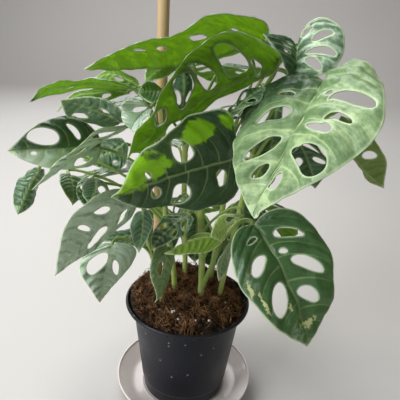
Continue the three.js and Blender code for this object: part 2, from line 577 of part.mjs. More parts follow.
/** The whole blade, flat: points in (x, y) and triangles wound to face its upper side. */
function flatBlade(leaf, length) {
  const large = length > 85;
  const [rimCount, ribCount, holeCount] = large ? [11, 6, 6] : [8, 4, 5];
  const points = [];
  const triangles = [];
  const index = new Map();
  const indexOf = (point) => {
    const key = `${point.x.toFixed(6)},${point.y.toFixed(6)}`;
    if (!index.has(key)) index.set(key, points.push(point) - 1);
    return index.get(key);
  };
  const stretch = new THREE.Vector2(length, leaf.width / 2);
  for (const side of [1, -1]) {
    const contour = halfOutline(leaf, side, rimCount, ribCount);
    const holes = leafHoles(leaf)
      .filter((hole) => hole[0] === side)
      .map((hole) => holeOutline(leaf, hole, holeCount));
    if (THREE.ShapeUtils.isClockWise(contour)) contour.reverse();
    holes.forEach((hole) => THREE.ShapeUtils.isClockWise(hole) || hole.reverse());
    const corners = [contour, ...holes].flat();
    const sized = corners.map((point) => point.clone().multiply(stretch));
    const flatTriangles = THREE.ShapeUtils.triangulateShape(
      contour.map((point) => point.clone().multiply(stretch)),
      holes.map((hole) => hole.map((point) => point.clone().multiply(stretch))),
    );
    for (const triangle of evenOut(sized, flatTriangles)) {
      triangles.push(triangle.map((corner) => indexOf(corners[corner])));
    }
  }
  return { points, triangles };
}

/** A leaf blade: the flat blade laid in space twice, a thickness apart, with walls round every edge. */
function blade(leaf) {
  const frame = leafFrame(leaf);
  const { points, triangles } = flatBlade(leaf, frame.length);
  const upper = points.map((point) => onLeaf(leaf, frame, point.x, point.y));
  const lower = points.map((point, i) => {
    return upper[i].clone().addScaledVector(leafNormal(leaf, frame, point.x, point.y), -BLADE);
  });
  const count = points.length;
  const faces = [];
  const edges = new Set(triangles.flatMap(([a, b, c]) => [`${a},${b}`, `${b},${c}`, `${c},${a}`]));
  for (const [a, b, c] of triangles) {
    faces.push(a, b, c, c + count, b + count, a + count);
    for (const [from, to] of [[a, b], [b, c], [c, a]]) {
      if (!edges.has(`${to},${from}`)) faces.push(from, from + count, to, to, from + count, to + count);
    }
  }
  const geometry = new THREE.BufferGeometry().setFromPoints([...upper, ...lower]);
  geometry.setIndex(faces);
  geometry.computeVertexNormals();
  return geometry;
}

/** The stalk from its node on the stem up to the back of the blade's base. */
function stalkCurve(leaf, stemCurve) {
  const { base, X, Z } = leafFrame(leaf);
  let low = 0;
  let high = 1;
  while (high - low > 1e-4) {
    const middle = (low + high) / 2;
    if (stemCurve.getPoint(middle).z < leaf.node) low = middle;
    else high = middle;
  }
  const start = stemCurve.getPoint(low);
  const distance = start.distanceTo(base);
  const handle = leaf.reach * distance;
  const away = X.clone().multiplyScalar(-0.24 * handle).addScaledVector(Z, -0.2 * handle);
  const end = base.clone().addScaledVector(away.clone().normalize(), leaf.stop);
  const leave = start.clone().lerp(base, 0.2).add(new THREE.Vector3(0, 0, leaf.upright * distance));
  return new THREE.CubicBezierCurve3(start, leave, end.clone().add(away), end);
}

/** A rooted stem joined with the stalks of all its leaves. */
function stemSolid(name) {
  const { radius, line } = STEMS[name];
  const curve = new THREE.CatmullRomCurve3(line.map((point) => new THREE.Vector3(...point)));
  let solid = toSolid(bar(curve, radius, STEM.sides, STEM.steps));
  for (const leaf of LEAVES.filter((each) => each.stem === name)) {
    solid = solid.add(toSolid(bar(stalkCurve(leaf, curve), leaf.thick, STALK.sides, STALK.steps)));
  }
  return solid;
}

/** The stem's own bar, wider by the gap, that its plain hole in the soil follows. */
function stemHole(name) {
  const { radius, line } = STEMS[name];
  const curve = new THREE.CatmullRomCurve3(line.map((point) => new THREE.Vector3(...point)));
  const clear = GAP + 0.1;
  const sides = STEM.sides + 1;
  const hole = toSolid(bar(curve, radius + clear, sides, STEM.steps));
  const [x, y, foot] = line[0];
  const seat = toSolid(cylinder(radius + clear, foot - clear, foot + 1, x, y, sides));
  return hole.add(seat);
}

// ---------------------------------------------------------------- potting soil

/** The mound's height, higher at the pot's back left, with lumps from a few crossed waves. */
function moundHeight(x, y) {
  const r = Math.hypot(x, y) / potInside;
  const towards = radians(SOIL.highTowards);
  const across = (x * Math.cos(towards) + y * Math.sin(towards)) / potInside;
  const edge = THREE.MathUtils.mapLinear(across, -1, 1, SOIL.edgeLow, SOIL.edgeHigh);
  const dome = (SOIL.crown - edge) * (1 - r ** 2.2) + edge;
  const lumps = Math.sin(0.21 * x + 0.8) * Math.sin(0.19 * y - 0.4) + 0.6 * Math.sin(0.47 * x - 0.31 * y);
  return rimTop + dome + SOIL.relief * lumps * (1 - r ** 4);
}

function soil() {
  const bottom = potFoot + POT.floor + GAP;
  const wallAt = (z) => potOutside(z) - POT.wall - GAP - 0.3;
  const rings = 7;
  const sectors = 32;
  const neck = rimTop - POT.neckDrop;
  const points = [new THREE.Vector3(0, 0, moundHeight(0, 0))];
  for (let ring = 1; ring <= rings; ring++) {
    for (let sector = 0; sector < sectors; sector++) {
      const angle = (2 * Math.PI * (sector + (ring % 2) / 2)) / sectors;
      const rough = (potInside * ring) / rings;
      const z = moundHeight(rough * Math.cos(angle), rough * Math.sin(angle));
      const radius = ring === rings ? wallAt(z) : rough;
      points.push(new THREE.Vector3(radius * Math.cos(angle), radius * Math.sin(angle), z));
    }
  }
  for (const z of [neck, bottom]) {
    for (let sector = 0; sector < sectors; sector++) {
      const angle = (2 * Math.PI * (sector + (rings % 2) / 2)) / sectors;
      points.push(new THREE.Vector3(wallAt(z) * Math.cos(angle), wallAt(z) * Math.sin(angle), z));
    }
  }
  const low = points.push(new THREE.Vector3(0, 0, bottom)) - 1;
  const faces = [];
  const at = (ring, sector) => 1 + (ring - 1) * sectors + (sector % sectors);
  for (let sector = 0; sector < sectors; sector++) {
    faces.push(0, at(1, sector), at(1, sector + 1));
    for (let ring = 1; ring <= rings + 1; ring++) {
      const straight = ring >= rings || ring % 2 === 0;
      const [a, b] = [at(ring, sector), at(ring, sector + 1)];
      const [c, d] = [at(ring + 1, sector), at(ring + 1, sector + 1)];
      if (straight) faces.push(a, c, d, a, d, b);
      else faces.push(a, c, b, b, c, d);
    }
    faces.push(low, at(rings + 2, sector + 1), at(rings + 2, sector));
  }
  const geometry = new THREE.BufferGeometry().setFromPoints(points);
  geometry.setIndex(faces);
  let solid = toSolid(geometry);
  const stake = cylinder(STAKE.radius + GAP, STAKE.foot - GAP, rimTop + 60, STAKE.x, STAKE.y);
  for (const hole of [toSolid(stake), ...Object.keys(STEMS).map(stemHole)]) solid = solid.subtract(hole);
  return toGeometry(solid);
}

// ---------------------------------------------------------------- assembly

addPiece('saucer', saucer(), clearPlastic);
addPiece('pot', pot(), charcoalPlastic);
addPiece('potting_soil', soil(), soilBrown);
addPiece('stake', cylinder(STAKE.radius, STAKE.foot, STAKE.foot + STAKE.length, STAKE.x, STAKE.y), woodTan);
for (const name of Object.keys(STEMS)) addPiece(`stem_${name}`, toGeometry(stemSolid(name)), stemGreen);
for (const leaf of LEAVES) addPiece(leaf.name, blade(leaf), leafGreen);

export default object;
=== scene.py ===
"""A monstera adansonii in its nursery pot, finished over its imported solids.

The tables give millimetres and degrees, and the meshes are made in metres. The origin is on the surface
that the saucer stands on, on the pot's axis, with Z up and the plant's front towards -Y.
"""
import math
import random
from types import SimpleNamespace

import bmesh
import bpy
import numpy as np
from mathutils import Matrix, Vector, noise
from mathutils.geometry import delaunay_2d_cdt


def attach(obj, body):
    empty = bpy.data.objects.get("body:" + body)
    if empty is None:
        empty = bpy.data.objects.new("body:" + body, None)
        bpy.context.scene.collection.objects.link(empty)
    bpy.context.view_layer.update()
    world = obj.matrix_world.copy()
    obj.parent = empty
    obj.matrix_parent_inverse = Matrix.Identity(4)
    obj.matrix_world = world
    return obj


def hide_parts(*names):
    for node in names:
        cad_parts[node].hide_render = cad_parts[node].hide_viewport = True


MM = 0.001
BODY = "root"

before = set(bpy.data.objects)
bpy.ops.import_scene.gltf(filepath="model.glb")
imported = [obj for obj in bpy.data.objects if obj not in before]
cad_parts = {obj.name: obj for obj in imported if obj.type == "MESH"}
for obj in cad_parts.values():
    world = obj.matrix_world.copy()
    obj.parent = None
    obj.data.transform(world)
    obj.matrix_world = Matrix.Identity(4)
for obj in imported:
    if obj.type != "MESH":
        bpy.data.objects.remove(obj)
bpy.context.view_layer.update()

# ---------------------------------------------------------------- camera and light

# The focal length and the width of the frame are in pixels.
CAMERA = {
    "place": (0, -456, 432), "pitch": 22.8, "roll": 3.5, "yaw": 0.9, "focal": 474, "frame": 400, "near": 10,
}
SENSOR = 36  # width of the camera's sensor


def add_camera():
    """Tipped down by its pitch, turned right by its yaw and tilted by its roll."""
    pitch, roll, yaw = (math.radians(CAMERA[key]) for key in ("pitch", "roll", "yaw"))
    forward = Vector((math.sin(yaw) * math.cos(pitch), math.cos(yaw) * math.cos(pitch), -math.sin(pitch)))
    level = Vector((math.cos(yaw), -math.sin(yaw), 0))
    rise = level.cross(forward)
    right = level * math.cos(roll) + rise * math.sin(roll)
    up = rise * math.cos(roll) - level * math.sin(roll)
    data = bpy.data.cameras.new("camera")
    data.sensor_width = SENSOR
    data.lens = CAMERA["focal"] / CAMERA["frame"] * SENSOR
    data.clip_start = CAMERA["near"] * MM
    camera = bpy.data.objects.new("camera", data)
    turn = Matrix((right, up, -forward)).transposed().to_4x4()
    camera.matrix_world = Matrix.Translation(Vector(CAMERA["place"]) * MM) @ turn
    bpy.context.scene.collection.objects.link(camera)
    bpy.context.scene.camera = camera


def add_softbox(name, place, aim, width, height, watts, colour=(1, 1, 1)):
    """A rectangular lamp, with its place, aim and size in metres."""
    data = bpy.data.lights.new(name, "AREA")
    data.shape = "RECTANGLE"
    data.size = width
    data.size_y = height
    data.energy = watts
    data.color = colour
    lamp = bpy.data.objects.new(name, data)
    turn = (Vector(aim) - Vector(place)).to_track_quat("-Z", "Y").to_matrix().to_4x4()
    lamp.matrix_world = Matrix.Translation(Vector(place)) @ turn
    bpy.context.scene.collection.objects.link(lamp)


add_camera()
MIDDLE = (0, 0, 0.28)  # the plant's middle, in metres
add_softbox("overhead", (-0.30, 0.35, 1.30), MIDDLE, 0.6, 0.5, 10, (1.0, 0.98, 0.94))
add_softbox("rear_window", (-0.55, 1.35, 1.15), MIDDLE, 1.5, 0.9, 15, (0.95, 0.98, 1.0))
add_softbox("backdrop_wash", (0, 1.5, 1.6), (0, 2.4, 0.2), 2.2, 0.4, 14)
add_softbox("window", (-1.15, -0.75, 0.78), MIDDLE, 0.8, 0.9, 21, (0.93, 0.97, 1.0))
add_softbox("front_fill", (0.8, -1.6, 1.0), MIDDLE, 1.3, 1.0, 3)

ROOM_LIGHT = 0.20  # strength of the room's light on the plant
ROOM_SEEN = 0.46  # its strength where it shows behind the floor
ROOM_COLOUR = (0.82, 0.80, 0.78, 1)


def make_room():
    """A pale even room that lights the plant softly and looks like the floor where it shows."""
    world = bpy.data.worlds.new("studio")
    bpy.context.scene.world = world
    world.use_nodes = True
    tree = world.node_tree
    light = tree.nodes["Background"]
    seen = tree.nodes.new("ShaderNodeBackground")
    for backdrop, strength in ((light, ROOM_LIGHT), (seen, ROOM_SEEN)):
        backdrop.inputs["Color"].default_value = ROOM_COLOUR
        backdrop.inputs["Strength"].default_value = strength
    rays = tree.nodes.new("ShaderNodeLightPath")
    either = tree.nodes.new("ShaderNodeMixShader")
    tree.links.new(rays.outputs["Is Camera Ray"], either.inputs[0])
    tree.links.new(light.outputs[0], either.inputs[1])
    tree.links.new(seen.outputs[0], either.inputs[2])
    tree.links.new(either.outputs[0], tree.nodes["World Output"].inputs["Surface"])


make_room()
bpy.context.scene.view_settings.view_transform = "Standard"

# ---------------------------------------------------------------- node building


class Build:
    """Adds nodes to one tree. An input is given as a value or as the socket that feeds it."""

    def __init__(self, tree):
        self.tree = tree

    def add(self, kind, settings=None, **inputs):
        node = self.tree.nodes.new(kind)
        for key, value in (settings or {}).items():
            setattr(node, key, value)
        for key, value in inputs.items():
            self.feed(node.inputs[key.replace("_", " ")], value)
        return node

    def feed(self, socket, value):
        if isinstance(value, bpy.types.NodeSocket):
            self.tree.links.new(value, socket)
        elif socket.type == "RGBA" and len(value) == 3:
            socket.default_value = (*value, 1)
        else:
            socket.default_value = value

    def operation(self, kind, operation, values):
        node = self.tree.nodes.new(kind)
        node.operation = operation
        for socket, value in zip(node.inputs, values):
            self.feed(socket, value)
        return node.outputs[0]

    def maths(self, operation, *values):
        return self.operation("ShaderNodeMath", operation, values)

    def times(self, first, second):
        return self.maths("MULTIPLY", first, second)

    def plus(self, first, second):
        return self.maths("ADD", first, second)

    def minus(self, first, second):
        return self.maths("SUBTRACT", first, second)

    def larger(self, first, second):
        return self.maths("MAXIMUM", first, second)

    def vector(self, operation, *values):
        return self.operation("ShaderNodeVectorMath", operation, values)

    def span(self, value, low, high, to_low=0.0, to_high=1.0):
        """Smoothly from to_low to to_high as value goes from low to high."""
        node = self.tree.nodes.new("ShaderNodeMapRange")
        node.interpolation_type = "SMOOTHSTEP"
        for index, each in enumerate((value, low, high, to_low, to_high)):
            self.feed(node.inputs[index], each)
        return node.outputs[0]

    def swing(self, value, weight):
        """A value from 0 to 1 turned into one about 0, half the weight to either side."""
        return self.times(self.minus(value, 0.5), weight)

    def roughness(self, grain, smooth, coarse):
        """From smooth to coarse by a fine grain."""
        return self.span(grain, 0.3, 0.7, smooth, coarse)

    def mix(self, factor, first, second):
        """Two colours mixed."""
        node = self.tree.nodes.new("ShaderNodeMix")
        node.data_type = "RGBA"
        self.feed(node.inputs[0], factor)
        self.feed(node.inputs[6], first)
        self.feed(node.inputs[7], second)
        return node.outputs[2]

    def overlay(self, base, mask, share, colour):
        """A colour laid over another one by a share of a mask."""
        return self.mix(self.times(mask, share), base, colour)

    def field(self, name):
        """A number that each point of the mesh carries."""
        return self.add("ShaderNodeAttribute", {"attribute_name": name}).outputs["Fac"]

    def object_place(self):
        return self.add("ShaderNodeTexCoord").outputs["Object"]

    def drawn_out(self, place, stretch):
        """A place scaled along each axis, which draws a pattern out where its scale is small."""
        return self.add("ShaderNodeMapping", Vector=place, Scale=stretch).outputs[0]

    def clouds(self, place, scale, detail=3.0, roughness=0.55):
        node = self.add("ShaderNodeTexNoise", Vector=place, Scale=scale, Detail=detail, Roughness=roughness)
        return node.outputs[0]

    def bump(self, height, distance, normal=None, strength=1.0):
        node = self.add("ShaderNodeBump", Height=height, Distance=distance, Strength=strength)
        if normal is not None:
            self.feed(node.inputs["Normal"], normal)
        return node.outputs[0]


def new_material(name):
    material = bpy.data.materials.new(name)
    material.use_nodes = True
    material.node_tree.nodes.clear()
    build = Build(material.node_tree)
    shader = build.add("ShaderNodeBsdfPrincipled")
    out = build.add("ShaderNodeOutputMaterial")
    build.feed(out.inputs["Surface"], shader.outputs[0])
    return material, build, shader, out


NUMBER = "NodeSocketFloat"
VECTOR = "NodeSocketVector"


def new_group(name, inputs, outputs):
    """An effect for several materials: inputs as (name, socket kind, value), outputs as (name, kind)."""
    tree = bpy.data.node_groups.new(name, "ShaderNodeTree")
    for label, kind, value in inputs:
        socket = tree.interface.new_socket(label, in_out="INPUT", socket_type=kind)
        if value is not None:
            socket.default_value = value
    for label, kind in outputs:
        tree.interface.new_socket(label, in_out="OUTPUT", socket_type=kind)
    build = Build(tree)
    return tree, build, build.add("NodeGroupInput").outputs, build.add("NodeGroupOutput").inputs


def vein_group():
    """Side veins and the finer ones between them. Phase is a whole number on each side vein."""
    tree, build, given, out = new_group(
        "side_veins",
        [("Phase", NUMBER, 0.0), ("Across", NUMBER, 0.0), ("Width", NUMBER, 0.05)],
        [("Main", NUMBER), ("Fine", NUMBER), ("Pillow", NUMBER), ("Slope", NUMBER)],
    )
    phase, across, width = (given[key] for key in ("Phase", "Across", "Width"))
    from_margin = build.minus(1.0, build.maths("ABSOLUTE", across))
    shape = build.plus(build.times(from_margin, 0.75), 0.25)

    def lines(count, breadth):
        """Lines, count of them to each side vein, that grow thinner towards the margin."""
        wrapped = build.maths("PINGPONG", build.times(phase, count), 0.5)
        return build.span(wrapped, build.times(build.times(shape, breadth), width), 0.0)

    build.feed(out["Main"], build.times(lines(1.0, 1.0), build.span(from_margin, 0.02, 0.2)))
    build.feed(out["Fine"], build.plus(build.times(lines(2.0, 0.9), 0.6), build.times(lines(6.0, 2.0), 0.25)))
    build.feed(out["Pillow"], build.times(build.maths("PINGPONG", phase, 0.5), 2.0))
    # Slope is lighter on one side of each stretch between side veins and darker on the other, for painted
    # sheen.
    build.feed(out["Slope"], build.maths("SINE", build.times(phase, 2 * math.pi)))
    return tree


def mottle_group():
    """Uneven patches at two sizes, from 0 to 1."""
    tree, build, given, out = new_group(
        "mottling",
        [("Place", VECTOR, None), ("Scale", NUMBER, 60.0), ("Contrast", NUMBER, 0.2)],
        [("Patches", NUMBER), ("Grain", NUMBER)],
    )
    place, scale, contrast = (given[key] for key in ("Place", "Scale", "Contrast"))
    rough = build.clouds(place, scale, 4.0, 0.6)
    build.feed(out["Patches"], build.span(rough, build.minus(0.5, contrast), build.plus(0.5, contrast)))
    build.feed(out["Grain"], build.clouds(place, build.times(scale, 9.0), 2.0, 0.5))
    return tree


def dust_group():
    """Small pale specks, thicker where Amount is larger."""
    tree, build, given, out = new_group(
        "dust",
        [("Place", VECTOR, None), ("Scale", NUMBER, 260.0), ("Amount", NUMBER, 0.1)],
        [("Specks", NUMBER)],
    )
    cells = build.add("ShaderNodeTexVoronoi", {"feature": "F1"}, Vector=given["Place"], Scale=given["Scale"])
    pick = build.add("ShaderNodeSeparateColor", Color=cells.outputs["Color"]).outputs[0]
    chosen = build.maths("LESS_THAN", pick, given["Amount"])
    dot = build.span(cells.outputs["Distance"], 0.32, 0.16)
    build.feed(out["Specks"], build.times(chosen, dot))
    return tree


SIDE_VEINS = vein_group()
MOTTLING = mottle_group()
DUST = dust_group()


def place_group(build, tree, **inputs):
    node = build.tree.nodes.new("ShaderNodeGroup")
    node.node_tree = tree
    for key, value in inputs.items():
        build.feed(node.inputs[key], value)
    return node.outputs


# ---------------------------------------------------------------- leaf materials

# pale is a leaf's palest own colour together with painted sheen, and rim is the pale edge line, partly the
# margin's own colour and partly painted rim light.
LEAF_TINTS = {
    "dark": (0.011, 0.040, 0.021), "middle": (0.044, 0.125, 0.052), "pale": (0.60, 0.76, 0.58),
    "warm": (0.50, 0.66, 0.30), "under": (0.18, 0.38, 0.003), "through": (0.46, 1.0, 0.003),
    "rib": (0.46, 0.62, 0.24), "rim": (0.66, 0.80, 0.50),
}
YOUNG_TINTS = {
    "dark": (0.07, 0.20, 0.03), "middle": (0.27, 0.46, 0.05), "pale": (0.60, 0.74, 0.24),
    "warm": (0.55, 0.70, 0.20), "under": (0.26, 0.44, 0.07), "through": (0.50, 0.85, 0.07),
    "rib": (0.55, 0.68, 0.26), "rim": (0.70, 0.80, 0.45),
}
PAINTED_FROST_SHEEN = (0.76, 0.92, 0.74)  # painted sheen: the palest stretches of an upper face
PAINTED_GLOW = (0.32, 0.68, 0.003)  # painted glow: an upper face where light shines through it
DRY_BELOW = (0.22, 0.29, 0.09)  # the lower face of a yellowed leaf
TORN = (0.80, 0.80, 0.40)  # scars
SHONE_BELOW = (1.0, 1.0, 0.8)  # the light that comes out of a lower face


def leaf_patterns(build):
    """What a leaf's colour is made from: the numbers of its points, its veins, and patches from 0 to 1."""
    spot = build.object_place()
    uv = build.add("ShaderNodeUVMap", {"uv_map": "veins"}).outputs[0]
    phase, across, _ = build.add("ShaderNodeSeparateXYZ", Vector=uv).outputs

    def along_veins(breadth, scale, contrast):
        place = build.add("ShaderNodeCombineXYZ", X=phase, Y=build.times(across, breadth)).outputs[0]
        return place_group(build, MOTTLING, Place=place, Scale=scale, Contrast=contrast)["Patches"]

    veins = place_group(build, SIDE_VEINS, Phase=phase, Across=across, Width=0.08)
    patches = place_group(build, MOTTLING, Place=spot, Scale=60.0, Contrast=0.14)
    small = place_group(build, MOTTLING, Place=spot, Scale=230.0, Contrast=0.16)
    cells = build.add("ShaderNodeTexVoronoi", {"feature": "DISTANCE_TO_EDGE"}, Vector=spot, Scale=420.0)
    streaks = along_veins(1.6, 1.9, 0.16)
    flecks = along_veins(0.8, 7.0, 0.09)
    return SimpleNamespace(
        spot=spot, main=veins["Main"], fine=veins["Fine"], pillow=veins["Pillow"], slope=veins["Slope"],
        net=build.span(cells.outputs["Distance"], 0.12, 0.0),
        patches=patches["Patches"], grain=patches["Grain"], small=small["Patches"],
        streaks=streaks, flecks=flecks, uneven_below=build.larger(streaks, flecks),
        glow=build.span(build.plus(build.field("glow"), build.swing(streaks, 0.4)), 0.36, 0.64),
        tone=build.field("tone"), below=build.field("under"), thin=build.field("thin"),
        warm=build.field("warm"), rib=build.field("rib"),
    )


def leaf_top(build, look, tints):
    """The upper face, from dark to pale by its tone and painted sheen, with a painted glow where light shines
    through it.
    """
    uneven = build.swing(look.patches, 0.16)
    for source in (look.streaks, look.flecks, look.small):
        uneven = build.plus(uneven, build.swing(source, 0.14))
    uneven = build.plus(uneven, build.swing(look.pillow, -0.16))
    # Painted sheen: each stretch between side veins lighter on one side and darker on the other, as if lit
    # from one side.
    painted_sheen = build.times(build.field("painted_sheen"), build.span(look.streaks, 0.0, 1.0, 0.3, 1.3))
    uneven = build.plus(uneven, build.times(look.slope, painted_sheen))
    shade = build.plus(look.tone, build.times(uneven, build.span(look.tone, 0.0, 0.7, 0.35, 0.8)))
    olive = build.overlay(tints["middle"], look.warm, 0.3, tints["warm"])
    top = build.mix(build.span(shade, 0.0, 0.45), tints["dark"], olive)
    minty = build.mix(look.warm, tints["pale"], tints["warm"])
    top = build.mix(build.span(shade, 0.4, 0.95), top, minty)
    top = build.mix(build.span(shade, 0.95, 1.4), top, PAINTED_FROST_SHEEN)
    # Painted glow: bright yellow-green patches where light shines through the leaf.
    return build.mix(look.glow, top, build.overlay(PAINTED_GLOW, look.patches, 0.5, tints["under"]))


def leaf_bottom(build, look, tints):
    """The yellower lower face, darker in streaks and between its veins."""
    bottom = build.overlay(tints["under"], look.uneven_below, 0.36, tints["middle"])
    bottom = build.overlay(bottom, look.pillow, 0.25, tints["middle"])
    return build.mix(look.warm, bottom, DRY_BELOW)


def leaf_lines(build, look):
    """How strongly the veins show, and how strongly the pale line along the edges does, partly the margin's
    own colour and partly painted rim light.
    """
    main = build.times(look.main, build.span(look.tone, 0.2, 0.7, 0.4, 0.7))
    line = build.larger(main, build.times(build.larger(look.fine, look.net), 0.10))
    line = build.times(line, build.span(look.below, 0.0, 1.0, 1.0, 0.6))
    edge = build.span(build.field("rim"), 0.25, 0.9)
    edge = build.times(edge, build.span(build.larger(look.tone, look.thin), 0.2, 0.8, 0.4, 0.9))
    return line, edge


def leaf_relief(build, look):
    """The normal: veins sunk in the upper face and raised on the lower one, pillows, waves and grain."""
    sign = build.minus(build.times(look.below, 2.0), 1.0)
    raised = build.plus(look.main, build.times(build.plus(look.fine, look.net), 0.22))
    raised = build.minus(raised, build.times(build.span(look.pillow, 0.0, 1.0), 3.5))
    normal = build.bump(build.times(raised, sign), 0.2 * MM, strength=0.8)
    normal = build.bump(build.clouds(look.spot, 120.0, 3.0), 1.4 * MM, normal, 0.6)
    return build.bump(look.grain, 0.15 * MM, normal, 0.5)


def leaf_material(name, tints):
    """A thin leaf: upper face by its tone and painted sheen, painted shade at hole edges and in blots,
    yellower lower face, and the light that comes through.
    """
    material, build, shader, out = new_material(name)
    look = leaf_patterns(build)
    line, edge = leaf_lines(build, look)
    # Painted shade: darkens the surface and the light through it along the edges of holes and in blots.
    curl = build.times(build.field("curl"), 0.85)
    light = build.mix(build.span(look.tone, 0.4, 0.8), tints["rib"], tints["rim"])
    scar = build.span(build.plus(build.field("scar"), build.swing(look.small, 0.7)), 0.40, 0.65)
    surface = build.mix(look.below, leaf_top(build, look, tints), leaf_bottom(build, look, tints))
    surface = build.mix(line, surface, light)
    surface = build.overlay(surface, look.rib, 0.75, light)
    # The pale edge line: partly the margin's own colour and partly painted rim light.
    surface = build.mix(edge, surface, tints["rim"])
    surface = build.mix(curl, surface, tints["dark"])
    build.feed(shader.inputs["Base Color"], build.mix(scar, surface, TORN))
    rough = build.roughness(look.grain, 0.27, 0.38)
    build.feed(shader.inputs["Roughness"], build.plus(rough, build.times(look.below, 0.2)))
    shine = build.times(build.field("gloss"), build.span(look.below, 0.0, 1.0, 1.0, 0.2))
    build.feed(shader.inputs["Specular IOR Level"], shine)
    build.feed(shader.inputs["Normal"], leaf_relief(build, look))
    sheet = build.add("ShaderNodeBsdfTranslucent")
    shone = build.mix(look.below, tints["through"], SHONE_BELOW)
    shone = build.overlay(shone, look.uneven_below, 0.28, tints["middle"])
    build.feed(sheet.inputs["Color"], build.mix(curl, shone, tints["dark"]))
    clear = build.plus(0.30, build.times(look.below, 0.32))
    clear = build.times(clear, build.larger(look.thin, look.glow))
    solid = build.larger(build.larger(edge, look.rib), line)
    both = build.add("ShaderNodeMixShader")
    build.feed(both.inputs[0], build.times(clear, build.span(solid, 0.0, 1.0, 1.0, 0.3)))
    build.feed(both.inputs[1], shader.outputs[0])
    build.feed(both.inputs[2], sheet.outputs[0])
    build.feed(out.inputs["Surface"], both.outputs[0])
    return material


# ---------------------------------------------------------------- other materials

STEM_TINTS = {
    "deep": (0.24, 0.37, 0.055), "light": (0.40, 0.50, 0.11), "streak": (0.54, 0.62, 0.22),
    "stalk": (0.09, 0.19, 0.03), "knot": (0.42, 0.40, 0.22), "foot": (0.22, 0.17, 0.07),
}
POT_TINTS = {
    "deep": (0.006, 0.007, 0.012), "smear": (0.011, 0.012, 0.020), "speck": (0.36, 0.34, 0.31),
    "fine_speck": (0.30, 0.28, 0.25),
}
SAUCER_TINTS = {"milk": (0.92, 0.83, 0.79), "mark": (0.84, 0.74, 0.70), "speck": (0.28, 0.20, 0.14)}
WOOD_TINTS = {"tan": (0.58, 0.38, 0.18), "light": (0.66, 0.46, 0.24), "grain": (0.46, 0.28, 0.12)}


def stem_material():
    """Light green, streaked along the stem, darker on the stalks and browner at the knots and the foot."""
    material, build, shader, _ = new_material("stem")
    spot = build.object_place()
    drawn = build.drawn_out(spot, (1, 1, 0.22))
    streaks = place_group(build, MOTTLING, Place=drawn, Scale=420.0, Contrast=0.22)
    patches = place_group(build, MOTTLING, Place=spot, Scale=45.0, Contrast=0.25)
    green = build.mix(patches["Patches"], STEM_TINTS["deep"], STEM_TINTS["light"])
    green = build.overlay(green, streaks["Patches"], 0.45, STEM_TINTS["streak"])
    for part, share in (("stalk", 0.5), ("knot", 0.55), ("foot", 0.6)):
        green = build.overlay(green, build.field(part), share, STEM_TINTS[part])
    build.feed(shader.inputs["Base Color"], green)
    build.feed(shader.inputs["Roughness"], build.roughness(streaks["Grain"], 0.36, 0.52))
    shader.inputs["Subsurface Weight"].default_value = 0.15
    shader.inputs["Subsurface Radius"].default_value = (0.6, 1.0, 0.3)
    shader.inputs["Subsurface Scale"].default_value = 1.5 * MM
    ridges = build.bump(streaks["Patches"], 0.2 * MM, strength=0.5)
    build.feed(shader.inputs["Normal"], build.bump(streaks["Grain"], 0.12 * MM, ridges, 0.4))
    return material


def pot_material():
    """Dark plastic with fine turned lines, dull smears, and pale dust that is thicker near the rim."""
    material, build, shader, _ = new_material("pot_plastic")
    spot = build.object_place()
    lines = build.clouds(build.drawn_out(spot, (0.2, 0.2, 6.0)), 60.0, 4.0)
    smears = place_group(build, MOTTLING, Place=spot, Scale=28.0, Contrast=0.2)
    height = build.add("ShaderNodeSeparateXYZ", Vector=spot).outputs[2]
    amount = build.plus(0.05, build.times(build.span(height, 60 * MM, 115 * MM), 0.07))
    specks = place_group(build, DUST, Place=spot, Scale=230.0, Amount=amount)["Specks"]
    fine = place_group(build, DUST, Place=spot, Scale=620.0, Amount=0.06)["Specks"]
    grey = build.overlay(POT_TINTS["deep"], smears["Patches"], 0.5, POT_TINTS["smear"])
    grey = build.overlay(grey, specks, 0.6, POT_TINTS["speck"])
    grey = build.overlay(grey, fine, 0.25, POT_TINTS["fine_speck"])
    build.feed(shader.inputs["Base Color"], grey)
    rough = build.span(smears["Patches"], 0.0, 1.0, 0.36, 0.46)
    build.feed(shader.inputs["Roughness"], build.plus(rough, build.times(specks, 0.4)))
    shader.inputs["Specular IOR Level"].default_value = 0.35
    grain = build.bump(lines, 0.06 * MM, strength=0.35)
    build.feed(shader.inputs["Normal"], build.bump(smears["Grain"], 0.05 * MM, grain, 0.3))
    return material


def saucer_material():
    """Clear plastic, shown milky, with marks and a few brown specks."""
    material, build, shader, _ = new_material("saucer_plastic")
    spot = build.object_place()
    marks = place_group(build, MOTTLING, Place=spot, Scale=26.0, Contrast=0.2)
    specks = place_group(build, DUST, Place=spot, Scale=120.0, Amount=0.04)["Specks"]
    milk = build.overlay(SAUCER_TINTS["milk"], marks["Patches"], 0.6, SAUCER_TINTS["mark"])
    milk = build.overlay(milk, specks, 0.5, SAUCER_TINTS["speck"])
    build.feed(shader.inputs["Base Color"], milk)
    build.feed(shader.inputs["Roughness"], build.roughness(marks["Grain"], 0.10, 0.20))
    shader.inputs["Transmission Weight"].default_value = 0.2
    shader.inputs["IOR"].default_value = 1.46
    build.feed(shader.inputs["Normal"], build.bump(marks["Grain"], 0.05 * MM, strength=0.25))
    return material


def soil_material(name, dark, light, scale):
    """Something dull and grainy that lies in the pot, between two colours."""
    material, build, shader, _ = new_material(name)
    lumps = place_group(build, MOTTLING, Place=build.object_place(), Scale=scale, Contrast=0.2)
    brown = build.mix(lumps["Patches"], dark, light)
    build.feed(shader.inputs["Base Color"], build.overlay(brown, lumps["Grain"], 0.35, dark))
    shader.inputs["Roughness"].default_value = 0.9
    shader.inputs["Specular IOR Level"].default_value = 0.25
    build.feed(shader.inputs["Normal"], build.bump(lumps["Grain"], 0.8 * MM, strength=0.8))
    return material


